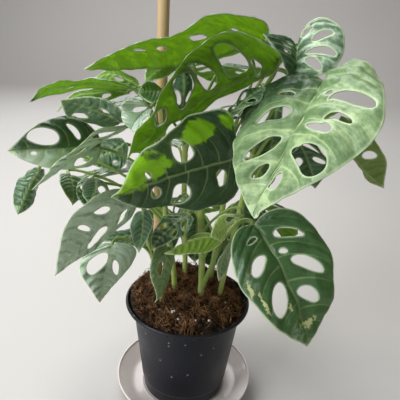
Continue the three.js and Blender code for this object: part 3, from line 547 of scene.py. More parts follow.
def wood_material():
    """Light wood with its grain along the stake."""
    material, build, shader, _ = new_material("stake_wood")
    spot = build.object_place()
    drawn = build.drawn_out(spot, (1.0, 1.0, 0.03))
    grain = place_group(build, MOTTLING, Place=drawn, Scale=420.0, Contrast=0.2)
    patches = place_group(build, MOTTLING, Place=spot, Scale=16.0, Contrast=0.3)
    tan = build.mix(patches["Patches"], WOOD_TINTS["tan"], WOOD_TINTS["light"])
    build.feed(shader.inputs["Base Color"], build.overlay(tan, grain["Patches"], 0.5, WOOD_TINTS["grain"]))
    build.feed(shader.inputs["Roughness"], build.roughness(grain["Grain"], 0.48, 0.62))
    build.feed(shader.inputs["Normal"], build.bump(grain["Patches"], 0.12 * MM, strength=0.4))
    return material


def plain_material(name, colour, roughness):
    """One colour, with faint clouds a little darker."""
    material, build, shader, _ = new_material(name)
    cloud = build.clouds(build.object_place(), 3.0, 2.0)
    build.feed(shader.inputs["Base Color"], build.mix(cloud, colour, tuple(0.96 * c for c in colour)))
    shader.inputs["Roughness"].default_value = roughness
    return material


LEAF = leaf_material("leaf", LEAF_TINTS)
YOUNG_LEAF = leaf_material("young_leaf", YOUNG_TINTS)
STEM = stem_material()
POT_PLASTIC = pot_material()
SAUCER_PLASTIC = saucer_material()
PEAT = soil_material("peat", (0.012, 0.008, 0.006), (0.055, 0.032, 0.019), 160.0)
COIR = soil_material("coir", (0.060, 0.026, 0.011), (0.38, 0.195, 0.085), 70.0)
CRUMBS = soil_material("crumbs", (0.018, 0.009, 0.005), (0.12, 0.060, 0.028), 90.0)
PERLITE = soil_material("perlite", (0.80, 0.78, 0.74), (0.92, 0.91, 0.88), 300.0)
WOOD = wood_material()

# ---------------------------------------------------------------- meshes


def add_mesh(name, points, faces, material, fields=None, uv=None):
    """A smooth mesh in metres from points in millimetres.

    fields holds numbers for the points by name, and uv their places among the veins.
    """
    mesh = bpy.data.meshes.new(name)
    mesh.from_pydata((np.asarray(points, float) * MM).tolist(), [], [tuple(f) for f in faces])
    mesh.polygons.foreach_set("use_smooth", [True] * len(mesh.polygons))
    for label, values in (fields or {}).items():
        layer = mesh.attributes.new(label, "FLOAT", "POINT")
        layer.data.foreach_set("value", np.asarray(values, np.float32))
    if uv is not None:
        corners = np.empty(len(mesh.loops), np.int32)
        mesh.loops.foreach_get("vertex_index", corners)
        layer = mesh.uv_layers.new(name="veins")
        layer.data.foreach_set("uv", np.asarray(uv, np.float32)[corners].ravel())
    mesh.materials.append(material)
    mesh.update()
    obj = bpy.data.objects.new(name, mesh)
    bpy.context.scene.collection.objects.link(obj)
    return obj


def finish_piece(obj, slot, *nodes):
    """Puts a piece on the object's body, in place of its solids."""
    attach(obj, BODY)
    if nodes:
        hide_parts(*nodes)


def turned(name, profile, sides, material):
    """A closed profile of (radius, height) turned round the Z axis. Ends on the axis become one point."""
    angles = [2 * math.pi * i / sides for i in range(sides)]
    points = []
    rings = []
    for radius, height in profile:
        if radius == 0:
            rings.append([len(points)])
            points.append((0, 0, height))
        else:
            rings.append(list(range(len(points), len(points) + sides)))
            points += [(radius * math.cos(a), radius * math.sin(a), height) for a in angles]
    faces = []
    for low, high in zip(rings, rings[1:]):
        for i in range(sides):
            j = (i + 1) % sides
            if len(low) == 1:
                faces.append((low[0], high[j], high[i]))
            elif len(high) == 1:
                faces.append((low[i], low[j], high[0]))
            else:
                faces.append((low[i], low[j], high[j], high[i]))
    return add_mesh(name, points, faces, material)


def rounded(corners, steps=4):
    """A profile with each (radius, height, round) corner cut by a short curve."""
    path = []
    for i, (r, z, size) in enumerate(corners):
        if size == 0 or i in (0, len(corners) - 1):
            path.append((r, z))
            continue
        here = np.array((r, z), float)
        before = np.array(corners[i - 1][:2], float) - here
        after = np.array(corners[i + 1][:2], float) - here
        start = here + before * min(size / np.linalg.norm(before), 0.5)
        end = here + after * min(size / np.linalg.norm(after), 0.5)
        for k in range(steps + 1):
            t = k / steps
            path.append(tuple((1 - t) ** 2 * start + 2 * t * (1 - t) * here + t * t * end))
    return path


# ---------------------------------------------------------------- saucer, pot and stake

GAP = 0.3  # air between the saucer and the pot, and between the pot and its soil
SAUCER = {"radius": 80, "height": 16, "foot": 62, "thick": 1.6, "rings": (30, 50)}
POT = {
    "rim": 70, "height": 118, "foot": 48, "neck": 61, "shoulder": 66.5, "neck_drop": 11, "rim_drop": 4.5,
    "wall": 1.5, "floor": 2.5, "step": 16,
}
DRAIN = {"count": 6, "radius": 4, "circle": 30, "depth": 20, "sides": 24}
STAKE = {
    "radius": 5.8, "length": 408, "foot": 84, "x": -38, "y": 30, "sides": 40, "steps": 40,
    "unevenness": 0.012,
}
ROUND = 144  # sides of the saucer and the pot

pot_foot = SAUCER["thick"] + GAP
rim_top = pot_foot + POT["height"]
pot_inside = POT["shoulder"] - POT["wall"]
neck_height = rim_top - POT["neck_drop"]
shoulder_height = rim_top - POT["rim_drop"]


def pot_outside(z):
    """The pot's outer radius at a height."""
    heights = (pot_foot, neck_height, shoulder_height)
    return float(np.interp(z, heights, (POT["foot"], POT["neck"], POT["shoulder"])))


def add_saucer():
    """The saucer: a flat floor with raised rings, and a low wall that slants out to its lip."""
    radius, height, foot, thick = (SAUCER[key] for key in ("radius", "height", "foot", "thick"))
    profile = [(0, 0, 0), (foot - 1, 0, 1.5), (radius - 4, height - 6, 5), (radius - 0.8, height - 2.6, 0.8),
               (radius, height - 2, 0.6), (radius, height, 0.8), (radius - 1.8, height, 0.8),
               (radius - 2.2, height - 2, 0.6), (radius - 5, height - 4, 2), (foot, thick, 4)]
    for ring in sorted(SAUCER["rings"], reverse=True):
        profile += [(ring + 1.4, thick, 0.5), (ring + 0.5, thick + 0.5, 0.4), (ring - 0.5, thick + 0.5, 0.4),
                    (ring - 1.4, thick, 0.5)]
    profile.append((0, thick, 0))
    finish_piece(turned("saucer_shell", rounded(profile), ROUND, SAUCER_PLASTIC), "saucer_plastic", "saucer")


def add_pot():
    """The pot: a step near its foot, a wider neck, an overhanging rim, and drain holes through its floor."""
    rim, foot, neck, shoulder = (POT[key] for key in ("rim", "foot", "neck", "shoulder"))
    wall, step = POT["wall"], pot_foot + POT["step"]
    profile = [(0, pot_foot + 1, 0), (foot - 8, pot_foot + 1, 1), (foot - 6, pot_foot, 0.6),
               (foot - 0.8, pot_foot, 0.8), (foot, pot_foot + 2, 1),
               (pot_outside(step) - 0.4, step - 1, 1), (pot_outside(step) + 0.4, step + 1, 1),
               (neck, neck_height, 1.5), (shoulder, shoulder_height, 1.2),
               (rim - 0.8, shoulder_height + 0.4, 0.5), (rim, shoulder_height + 1.4, 0.7),
               (rim, rim_top - 1, 0.7), (rim - 1, rim_top, 0.7), (rim - 2.2, rim_top, 0.7),
               (shoulder - wall, shoulder_height, 1.5), (neck - wall, neck_height, 1.5),
               (foot - wall, pot_foot + POT["floor"], 2), (0, pot_foot + POT["floor"], 0)]
    pot = turned("pot_shell", rounded(profile), ROUND, POT_PLASTIC)
    cutters = []
    for i in range(DRAIN["count"]):
        angle = 2 * math.pi * i / DRAIN["count"]
        x, y = DRAIN["circle"] * math.cos(angle), DRAIN["circle"] * math.sin(angle)
        bpy.ops.mesh.primitive_cylinder_add(
            vertices=DRAIN["sides"], radius=DRAIN["radius"] * MM, depth=DRAIN["depth"] * MM,
            location=(x * MM, y * MM, (pot_foot + 1) * MM))
        cutters.append(bpy.context.object)
    for cutter in cutters:
        cut = pot.modifiers.new("drain", "BOOLEAN")
        cut.operation = "DIFFERENCE"
        cut.solver = "EXACT"
        cut.object = cutter
    apply_modifiers(pot)
    for cutter in cutters:
        bpy.data.objects.remove(cutter)
    finish_piece(pot, "pot_plastic", "pot")


def apply_modifiers(obj):
    """The object's evaluated mesh becomes its own, and its modifiers go."""
    bpy.context.view_layer.update()
    mesh = bpy.data.meshes.new_from_object(obj.evaluated_get(bpy.context.evaluated_depsgraph_get()))
    obj.modifiers.clear()
    obj.data = mesh


def add_stake():
    """The stake: a dowel with softened ends, a little uneven along its length."""
    radius, bottom, top = STAKE["radius"], STAKE["foot"], STAKE["foot"] + STAKE["length"]
    steps, unevenness = STAKE["steps"], STAKE["unevenness"]
    heights = [(bottom + 1) + (top - bottom - 2) * i / steps for i in range(steps + 1)]
    profile = [(0, bottom, 0), (radius, bottom, 1.2)]
    profile += [(radius * (1 - unevenness * math.sin(0.05 * z) ** 2), z, 0) for z in heights]
    profile += [(radius, top, 1.0), (0, top, 0)]
    stake = turned("stake_pole", rounded(profile), STAKE["sides"], WOOD)
    stake.data.transform(Matrix.Translation(Vector((STAKE["x"], STAKE["y"], 0)) * MM))
    finish_piece(stake, "stake_wood", "stake")


# ---------------------------------------------------------------- stems

# Each stem has a radius and a centre line, from within the soil to its top. It swells at its knots, where
# its stalks leave, draws in at its end and is brown up to a height above the pot's rim.
STEMS = {
    "front": (3.5, [(14, -13, 105), (14, -14, 150), (12, -12, 190), (8, -8, 240), (6, -4, 285)]),
    "left": (3.0, [(-14, -5, 110), (-17, -6, 155), (-24, -8, 200), (-31, -8, 250), (-36, -6, 300)]),
    "corner": (2.6, [(-27, -21, 105), (-29, -24, 140), (-36, -28, 175), (-46, -30, 215)]),
    "right": (3.0, [(34, -2, 105), (38, -4, 150), (45, -6, 205), (52, -6, 255), (58, -4, 300)]),
    "rear_left": (3.0, [(-4, 26, 110), (-6, 30, 160), (-10, 36, 220), (-12, 42, 290)]),
    "rear_right": (3.0, [(24, 22, 110), (28, 26, 160), (34, 30, 225), (36, 32, 300)]),
}
STEM_SHAPE = {
    "steps": 90, "sides": 16, "knot_swell": 0.35, "knot_length": 2.2, "end_length": 5, "end_share": 0.12,
    "brown_height": 10, "brown_fade": 9,
}
# A stalk is swell times its radius where it leaves the stem, and has a joint just before its blade.
STALK = {
    "steps": 26, "sides": 12, "swell": 1.5, "groove": 0.16, "joint_at": 0.95, "joint_swell": 0.35,
    "full_length": 110,
}

# ---------------------------------------------------------------- leaves

# A leaf lies from base to tip, width across, turned by roll about that line. fold lifts its left and
# right halves, droop curls them down, arch and hook bend the midrib, twist turns the tip, bend curves
# the midrib sideways, and wave ripples the margin, moved along by phase. A margin is (side, place, amount)
# of a swell. A hole is (side, vein, middle, half length, half reach, lean, taper), and a number of holes
# stands for that many small ones on each side. The stalk leaves its stem at the height node, thick is its
# radius under a large leaf, upright how steeply it leaves, and reach how early it bends to the leaf's line.
LEAF_ROWS = [
    # front and right
    dict(stem="right", node=275, base=(102, -64, 378), tip=(44, -140, 287), width=128, fold=(55, 15),
         droop=60, bend=15, twist=-5, wave=6, arch=0.14, phase=0.3,
         margins=[(1, 0.56, 0.14), (1, 0.8, 0.1), (-1, 0.1, 0.08), (-1, 0.32, 0.15), (-1, 0.56, -0.15),
                  (-1, 0.8, -0.15)],
         holes=[(-1, 0.19, 0.37, 0.024, 0.105, -0.025, 0), (-1, 0.37, 0.39, 0.04, 0.23, 0.02, -0.1),
                (-1, 0.61, 0.4, 0.048, 0.27, 0.055, -0.3), (-1, 0.75, 0.32, 0.033, 0.18, 0.03, -0.35),
                (1, 0.785, 0.28, 0.045, 0.24, 0, -0.1), (1, 0.25, 0.37, 0.019, 0.1, 0.01, 0.25),
                (1, 0.25, 0.66, 0.042, 0.27, -0.06, 0.85), (1, 0.4, 0.59, 0.02, 0.175, -0.02, 0.05),
                (1, 0.475, 0.42, 0.025, 0.2, 0, 0.25), (1, 0.615, 0.55, 0.062, 0.34, 0, 0.3)]),
    dict(stem="front", node=140, thick=2.4, upright=0.1, base=(60, -44, 237), tip=(116, -96, 136),
         width=99, roll=16, fold=(27, 14), bend=4, twist=-28, wave=3, phase=0.15,
         margins=[(1, 0.1, 0.15), (1, 0.32, 0.1), (1, 0.8, 0.28), (-1, 0.56, -0.1)],
         holes=[(1, 0.11, 0.47, 0.04, 0.245, -0.025, 0.2), (1, 0.37, 0.48, 0.056, 0.27, 0.02, 0.23),
                (1, 0.61, 0.31, 0.064, 0.2, 0.02, 0.15), (1, 0.265, 0.18, 0.019, 0.07, 0, 0),
                (-1, 0.06, 0.4, 0.017, 0.15, -0.03, 0.25), (-1, 0.23, 0.46, 0.052, 0.22, -0.01, 0.3),
                (-1, 0.53, 0.44, 0.09, 0.3, 0.03, 0)]),
    dict(stem="front", node=235, base=(33, -64, 307), tip=(-65, -107, 282), width=102, roll=-100,
         fold=(8, 19), arch=0.03, bend=-10, twist=-25, wave=6, phase=-0.45,
         margins=[(1, 0.1, 0.28), (1, 0.32, -0.15), (1, 0.56, -0.28), (1, 0.8, -0.2), (-1, 0.1, 0.4),
                  (-1, 0.8, 0.19)],
         holes=[(-1, 0.385, 0.53, 0.072, 0.27, -0.01, -0.3), (-1, 0.7, 0.28, 0.018, 0.16, 0, 0.15),
                (1, 0.655, 0.3, 0.037, 0.155, -0.015, 0.15), (1, 0.415, 0.56, 0.07, 0.3, -0.04, -0.15),
                (1, 0.105, 0.33, 0.044, 0.16, -0.025, -0.15)]),
    dict(stem="right", node=292, base=(65, -38, 382), tip=(-55, -104, 318), width=106, roll=48,
         fold=(17, 15), droop=0, arch=0.06, wave=4, phase=0.54, bend=2, twist=8, hook=0.01,
         margins=[(1, 0.1, -0.18), (1, 0.8, -0.43), (-1, 0.1, -0.2), (-1, 0.32, -0.35), (-1, 0.8, 0.3)],
         holes=[(1, 0.21, 0.48, 0.076, 0.36, -0.045, 0.035), (1, 0.1, 0.28, 0.027, 0.24, -0.022, 0.26),
                (1, 0.4, 0.46, 0.044, 0.38, -0.004, -0.45), (1, 0.535, 0.45, 0.055, 0.38, -0.068, 0.08),
                (1, 0.72, 0.43, 0.045, 0.38, -0.022, -0.26)]),
    dict(stem="rear_right", node=295, base=(55, 2, 402), tip=(-96, -54, 375), width=90, roll=28,
         fold=(25, 27), droop=-10, arch=-0.05, wave=2, phase=0.4, twist=12,
         margins=[(1, 0.56, -0.3), (1, 0.8, -0.15)],
         holes=[(1, 0.33, 0.6, 0.032, 0.12, 0.01, -0.4), (1, 0.545, 0.57, 0.03, 0.075, 0, 0.2),
                (1, 0.665, 0.66, 0.014, 0.09, 0.02, 0), (1, 0.095, 0.62, 0.017, 0.04, 0, -0.2),
                (-1, 0.2, 0.5, 0.04, 0.25, 0, 0), (-1, 0.42, 0.5, 0.04, 0.22, 0, 0)]),
    dict(stem="rear_right", node=270, base=(87, 1, 400), tip=(76, -40, 369), width=81, roll=-13,
         fold=(69, 47), droop=50, bend=8, twist=-59, wave=0,
         margins=[(1, 0.1, 0.2), (1, 0.32, 0.12), (1, 0.56, 0.08), (1, 0.8, 0.3), (-1, 0.32, -0.22)],
         holes=[(1, 0.02, 0.5, 0.06, 0.16, -0.04, -0.1), (1, 0.2, 0.63, 0.057, 0.2, -0.068, 0),
                (1, 0.425, 0.57, 0.055, 0.31, -0.02, 0.15), (1, 0.623, 0.5, 0.063, 0.25, 0.065, -0.1),
                (-1, 0.2, 0.35, 0.03, 0.1, 0, 0), (-1, 0.37, 0.42, 0.03, 0.12, 0, 0),
                (-1, 0.53, 0.4, 0.025, 0.1, 0, 0)]),
    dict(stem="right", node=235, base=(130, -23, 336), tip=(170, -60, 287), width=64, roll=-57,
         fold=(60, 35), droop=40, arch=-0.05, bend=25, twist=-69, wave=4),
    dict(stem="front", node=280, base=(27, -64, 346), tip=(56, -53, 368), width=30, fold=(10, 11),
         arch=0.06, twist=23, wave=2, reach=0.3, holes=2),
    dict(stem="right", node=150, base=(40, -23, 204), tip=(31, -45, 171), width=26, roll=-77,
         fold=(6, 22), droop=7, arch=-0.04, bend=-16, twist=32, wave=1, holes=0),
    dict(stem="front", node=205, base=(46, -44, 245), tip=(18, -60, 229), width=42, roll=-128,
         fold=(27, 9), droop=40, arch=0, bend=11, twist=50, wave=1, holes=1),
    dict(stem="front", node=172, base=(30, -42, 220), tip=(-24, -60, 207), width=30, roll=164,
         fold=(60, 60), droop=50, arch=-0.05, bend=20, twist=60, wave=1, holes=0),
    # left
    dict(stem="corner", node=205, base=(-52, -61, 261), tip=(-113, -111, 209), width=67, roll=-110,
         fold=(-17, -16), droop=-10, arch=0, bend=-18, twist=-8, wave=1,
         holes=[(1, 0.45, 0.42, 0.13, 0.3, 0, 0), (1, 0.12, 0.45, 0.05, 0.25, 0, 0),
                (-1, 0.26, 0.45, 0.06, 0.17, 0, 0), (-1, 0.5, 0.4, 0.03, 0.2, 0, 0)]),
    dict(stem="corner", node=188, base=(-75, -52, 211), tip=(-82, -82, 164), width=51, roll=-39,
         fold=(-4, 13), droop=45, arch=0.13, bend=-14, twist=-58, wave=1, phase=0.2,
         margins=[(1, 0.1, 0.6), (1, 0.32, 0.2), (-1, 0.1, -0.1), (-1, 0.8, -0.15)],
         holes=[(-1, 0.31, 0.4, 0.185, 0.34, 0.04, 0.1), (1, 0.36, 0.37, 0.086, 0.2, 0.05, -0.35)]),
    dict(stem="corner", node=212, base=(-48, -42, 243), tip=(-48, -68, 212), width=35, roll=50,
         fold=(9, 13), droop=6, arch=-0.04, bend=7, twist=11, wave=1, holes=0),
    dict(stem="corner", node=165, base=(-25, -34, 201), tip=(-31, -65, 155), width=42, roll=-73,
         fold=(15, 11), droop=48, arch=0.06, twist=-31, wave=1,
         holes=[(-1, 0.36, 0.42, 0.13, 0.22, 0, 0)]),
    dict(stem="left", node=262, base=(-40, -60, 347), tip=(-56, -61, 326), width=39, roll=-84,
         fold=(71, 39), droop=6, arch=0.04, bend=-20, twist=13, wave=6, phase=0.78, hook=0.06,
         margins=[(1, 0.1, -0.45), (1, 0.32, -0.08), (1, 0.8, -0.09), (-1, 0.1, 0.08), (-1, 0.32, 0.09),
                  (-1, 0.56, -0.08), (-1, 0.8, 0.2)],
         holes=[(-1, 0.21, 0.3, 0.16, 0.2, 0.03, 0.08), (1, 0.17, 0.66, 0.11, 0.11, -0.1, -0.08)]),
    dict(stem="left", node=280, base=(-68, -40, 328), tip=(-112, -72, 353), width=52, roll=-139,
         fold=(10, 27), droop=21, arch=0, bend=-7, twist=28, wave=0, hook=-0.04,
         margins=[(1, 0.32, -0.23), (1, 0.56, -0.29), (-1, 0.1, -0.48)],
         holes=[(1, 0.51, 0.69, 0.13, 0.22, -0.02, -0.16), (-1, 0.33, 0.27, 0.1, 0.22, 0.08, 0.06)]),
    dict(stem="left", node=248, base=(-91, -23, 298), tip=(-158, -74, 306), width=59, roll=-71,
         fold=(-16, 24), droop=70, arch=0.11, twist=-21, wave=4, hook=0.03, phase=0.05,
         margins=[(-1, 0.32, 0.07), (1, 0.56, -0.09)],
         holes=[(-1, 0.634, 0.53, 0.142, 0.385, 0.023, -0.05), (-1, 0.27, 0.5, 0.05, 0.22, 0, 0),
                (1, 0.766, 0.17, 0.027, 0.106, 0, 0.15), (1, 0.112, 0.53, 0.105, 0.197, -0.06, -0.06)]),
    dict(stem="front", node=283, base=(-20, 14, 381), tip=(-52, -5, 361), width=36, roll=155,
         fold=(21, -1), droop=42, arch=0.04, bend=4, twist=-40, wave=1, hook=-0.06, holes=0,
         margins=[(1, 0.32, -0.1), (1, 0.8, -0.09), (-1, 0.1, -0.11), (-1, 0.32, 0.07), (-1, 0.8, -0.37)]),
    dict(stem="front", node=265, base=(-15, -18, 337), tip=(-16, -20, 379), width=24, roll=-134,
         fold=(-9, -6), droop=52, arch=0.16, bend=2, twist=-39, wave=-1, hook=0.03, holes=1,
         margins=[(-1, 0.1, 0.21), (-1, 0.56, -0.18), (-1, 0.8, -0.11)]),
    dict(stem="left", node=298, base=(-28.6, -22, 353), tip=(-55, -27, 351.5), width=32, roll=-28,
         fold=(18, 8), bend=2, twist=-63, wave=1, droop=29, hook=-0.02, holes=0,
         margins=[(1, 0.8, -0.07), (-1, 0.8, -0.09)]),
    dict(stem="left", node=290, base=(-58, -21, 354), tip=(-144, -53, 349), width=53, roll=15,
         fold=(18, 6), arch=0.09, bend=-5, twist=32, wave=2, droop=27, hook=0.04, phase=-0.23,
         margins=[(1, 0.1, -0.34), (1, 0.56, -0.66), (1, 0.8, -0.39), (-1, 0.1, 0.11), (-1, 0.56, -0.16),
                  (-1, 0.8, -0.14)],
         holes=[(-1, 0.3, 0.45, 0.06, 0.2, 0, 0), (-1, 0.55, 0.45, 0.05, 0.2, 0, 0)]),
    dict(stem="left", node=298, base=(-60, 20, 349), tip=(-104, 13, 357), width=35, roll=162,
         fold=(11, 6), arch=-0.14, twist=-3, wave=0, droop=24, hook=-0.05, bend=2, phase=0.01,
         margins=[(1, 0.1, 0.22), (1, 0.32, -0.18), (1, 0.56, -0.11), (-1, 0.1, -0.07)],
         holes=[(-1, 0.45, 0.24, 0.09, 0.17, 0, -0.2)]),
    dict(stem="left", node=268, base=(-64, -32, 321), tip=(-138, -79, 273), width=29, roll=-123,
         fold=(-16, 15), droop=57, arch=0, bend=-16, wave=3, phase=0.75, hook=0.01, holes=2,
         margins=[(1, 0.32, -0.45), (1, 0.56, -0.5), (-1, 0.1, -0.24), (-1, 0.56, -0.27),
                  (-1, 0.8, -0.19)]),
    dict(stem="left", node=225, base=(-148, -30, 275), tip=(-171, -35, 229), width=45, roll=-110,
         fold=(-4, -32), droop=90, arch=-0.05, bend=-3, twist=19, wave=3, hook=-0.02, phase=0.7,
         margins=[(1, 0.1, -0.27), (1, 0.56, 0.09), (-1, 0.1, -0.5), (-1, 0.32, -0.5)],
         holes=[(1, 0.35, 0.5, 0.07, 0.18, 0, 0)]),
    dict(stem="left", node=215, base=(-122, -18, 267), tip=(-115, -37, 243), width=39, roll=-38,
         fold=(-1, 15), arch=0.15, bend=-19, twist=-21, wave=0, droop=11, hook=0.01,
         margins=[(1, 0.32, 0.13), (-1, 0.32, -0.11)],
         holes=[(1, 0.28, 0.53, 0.086, 0.18, 0.044, -0.03)]),
    dict(stem="left", node=232, base=(-92, -39, 272), tip=(-89, -82, 268), width=26, fold=(0, 10),
         arch=-0.04, bend=11, wave=0, roll=-4, droop=22, hook=0.08,
         margins=[(1, 0.1, -0.21), (-1, 0.1, 0.14), (-1, 0.56, -0.12)],
         holes=[(1, 0.34, 0.41, 0.16, 0.3, -0.02, 0.5)]),
    # partly hidden behind those
    dict(stem="left", node=240, base=(-74, 21, 291), tip=(-112, -3, 276), width=39, wave=-1, roll=-19,
         fold=(-1, 18), droop=28, arch=-0.02, hook=-0.05, bend=8, twist=-15, phase=1.27,
         margins=[(1, 0.1, -0.14), (1, 0.32, 0.15), (1, 0.56, 0.16), (-1, 0.56, -0.11)],
         holes=[(1, 0.33, 0.66, 0.055, 0.13, -0.05, -0.1)]),
    dict(stem="front", node=275, base=(44, -8, 341), tip=(8, -30, 324), width=36, wave=1, holes=1),
    dict(stem="rear_right", node=280, base=(40, 24, 389), tip=(5, 8, 375), width=44, roll=20, wave=1,
         holes=1),
    dict(stem="right", node=255, base=(93, -25, 317), tip=(109, -60, 283), width=46, wave=2, holes=2),
    dict(stem="rear_right", node=290, base=(70, 25, 382), tip=(57, 15, 417), width=26, roll=180, wave=1,
         holes=1),
    dict(stem="left", node=195, base=(-4, -22, 232), tip=(-38, -50, 206), width=38, wave=2, holes=2),
    dict(stem="front", node=212, base=(-11, 6, 242), tip=(-13, -9, 205), width=17, wave=1, holes=1),
    dict(stem="left", node=205, base=(-100, -18, 264), tip=(-96, -42, 238), width=34, roll=-20, wave=1,
         holes=1),
    dict(stem="left", node=170, base=(-36, 0, 192), tip=(-95, -14, 193), width=40, wave=2, holes=0),
    # the rear
    dict(stem="rear_left", node=285, base=(-50, 45, 330), tip=(-130, 95, 300), width=90),
    dict(stem="rear_left", node=275, base=(20, 55, 370), tip=(35, 150, 330), width=95),
    dict(stem="rear_right", node=255, base=(80, 40, 350), tip=(150, 100, 310), width=90),
    dict(stem="rear_left", node=230, base=(-20, 60, 280), tip=(-60, 150, 240), width=85),
    dict(stem="rear_right", node=215, base=(50, 60, 270), tip=(90, 140, 215), width=80),
    dict(stem="left", node=190, base=(-70, 25, 260), tip=(-150, 60, 220), width=75),
    dict(stem="rear_right", node=190, base=(70, 20, 240), tip=(112, 52, 172), width=75),
    dict(stem="rear_left", node=165, base=(0, 70, 210), tip=(5, 130, 160), width=70),
    # low among the stems
    dict(stem="rear_right", node=175, base=(7, 55, 199), tip=(6, 47, 138), width=38, wave=2, holes=0),
    dict(stem="rear_left", node=175, base=(-39, 58, 202), tip=(-39, 50, 136), width=50, wave=2, holes=0),
    dict(stem="rear_right", node=200, base=(60, 58, 214), tip=(60, 48, 148), width=56, wave=2, holes=0),
    dict(stem="rear_right", node=145, base=(28, 63, 168), tip=(28, 58, 126), width=44, wave=2, holes=0),
    # behind the large leaf at the right, and over the left leaves
    dict(stem="rear_right", node=240, base=(80, 21, 358), tip=(76, 7, 262), width=56, wave=2, holes=1),
    dict(stem="left", node=285, base=(-67, -1, 348), tip=(-135, -12, 341), width=22, wave=2, roll=154,
         fold=(13, 9), arch=-0.01, hook=-0.25, twist=-2,
         margins=[(1, 0.32, -0.24), (1, 0.56, -0.16), (-1, 0.1, -0.26)],
         holes=[(-1, 0.26, 0.42, 0.055, 0.34, -0.048, -0.23)]),
]
LEAF_DEFAULTS = {
    "roll": 0, "fold": (12, 12), "droop": 25, "arch": 0.08, "hook": 0, "bend": 0, "twist": 0, "wave": 2.5,
    "phase": 0, "reach": 1, "thick": 1.6, "upright": 0.28, "margins": [], "holes": 3,
    "tone": 0.3, "painted_sheen_split": 0, "painted_sheen": 0.06, "warm": 0, "thin": 0.35, "gloss": 0.6,
    "patches": [], "glows": [], "scars": [], "curls": [], "lips": 0,
}
HOOK_FROM = 0.6  # share of the length from which the midrib hooks
TWIST_ABOUT = 0.4  # share of the length at which the twist turns nothing
WAVES = 1.6  # waves of the margin along a leaf
WAVE_SHIFT = 0.23  # how far they are moved along on one side, and back on the other
SWEEP = 0.34  # how far a side vein runs forward on its way to the margin
SWELL = 0.13  # how far along the leaf one change of its margin spreads
LOBE = 0.16  # how far the two lobes reach back behind the stalk
WIDEST = 0.5395  # makes the half width 1 where the leaf is widest
SHEET = 0.5  # thickness of a blade
YOUNG = (10, 11)  # the light green leaves

# How each leaf looks: tone runs from dark to pale, the leaf's own colour together with painted sheen, split
# is how much paler its left half is painted than its right, sheen how strongly the painted sheen swings
# lighter and darker between side veins, warm how yellow the pale parts are, thin how much light comes
# through, gloss how shiny it is, and lips how much shade is painted along the edges of its holes. A patch
# is (along, across, size, change of tone and painted sheen), a painted glow or a blot of painted shade
# (along, across, size, strength) and a scar (along, across, length, breadth).
LOOKS = {
    1: {"tone": 0.54, "warm": 0.8, "gloss": 0.2, "painted_sheen": 0.09,
        "patches": [(0.05, -0.5, 0.30, -0.6), (0.35, -0.95, 0.18, -0.3), (0.9, 0, 0.2, 0.2)]},
    2: {"tone": 0.30, "thin": 0.7, "painted_sheen": 0.05,
        "patches": [(0.85, -0.3, 0.12, 0.35), (0.3, -0.8, 0.2, 0.25)],
        "scars": [(0.44, -0.83, 0.05, 0.05), (0.35, -0.58, 0.02, 0.12), (0.52, -0.72, 0.05, 0.03),
                  (0.6, -0.7, 0.04, 0.04), (0.65, -0.22, 0.03, 0.06), (0.82, 0.1, 0.03, 0.2)]},
    3: {"tone": 0.04, "thin": 0.5, "gloss": 0.35,
        "glows": [(0.82, -0.4, 0.24, 1.0), (0.34, -0.7, 0.13, 1.0), (0.06, -0.8, 0.12, 0.9)]},
    4: {"thin": 1, "lips": 0.4, "curls": [(0.5, 0.7, 0.22, 0.5)]},
    5: {"thin": 1},
    6: {"tone": 0.42, "painted_sheen_split": 0.15, "gloss": 0.3, "painted_sheen": 0.1},
    7: {"tone": 0.5, "warm": 1, "thin": 0.4},
    9: {"tone": 0.6, "warm": 1},
    10: {"tone": 0.6, "thin": 0.8},
    11: {"tone": 0.7, "thin": 0.8},
    12: {"tone": 0.85, "painted_sheen": 0.28},
    13: {"tone": 0.9, "painted_sheen": 0.28, "painted_sheen_split": 0.1},
    14: {"tone": 0.35},
    15: {"tone": 0.45, "warm": 1},
    16: {"tone": 1.1, "painted_sheen": 0.3},
    17: {"tone": 0.5, "painted_sheen": 0.1},
    18: {"tone": 0.55, "painted_sheen_split": 0.5, "painted_sheen": 0.2},
    19: {"thin": 1},
    20: {"tone": 0.25},
    21: {"thin": 1},
    22: {"tone": 0.7, "thin": 1, "curls": [(0.98, 0, 0.05, 0.9)]},
    24: {"tone": 1.05, "painted_sheen": 0.5},
    25: {"tone": 0.45, "painted_sheen": 0.15},
    26: {"tone": 0.5},
    27: {"tone": 0.35},
    28: {"tone": 0.4, "painted_sheen": 0.2},
    30: {"thin": 1},
    32: {"tone": 0.75},
    50: {"thin": 1},
}


# ---------------------------------------------------------------- leaf surface and veins


def scatter(seed):
    """An even spread of values from 0 to 1, one for each seed."""
    value = math.sin(seed * 12.9898) * 43758.5453
    return value - math.floor(value)


def unit(vector):
    return vector / np.linalg.norm(vector)


def bell(distance, reach):
    """1 where the distance is 0, and next to nothing beyond twice the reach."""
    return np.exp(-((distance / reach) ** 2))


def blot(x, y, at_x, at_y, length, breadth):
    """A bell in two directions: 1 at one place, of a length along x and a breadth along y."""
    return np.exp(-(((x - at_x) / length) ** 2 + ((y - at_y) / breadth) ** 2))


def half_width(leaf, side, s):
    """A margin's share of the half width at share s of the length, with the leaf's own changes."""
    s = np.clip(s, 0, 1)
    swell = sum(amount * bell(s - place, SWELL) for which, place, amount in leaf["margins"] if which == side)
    return (1 + swell) * np.sqrt(s) * (1 - s**2.2) ** 1.15 / WIDEST


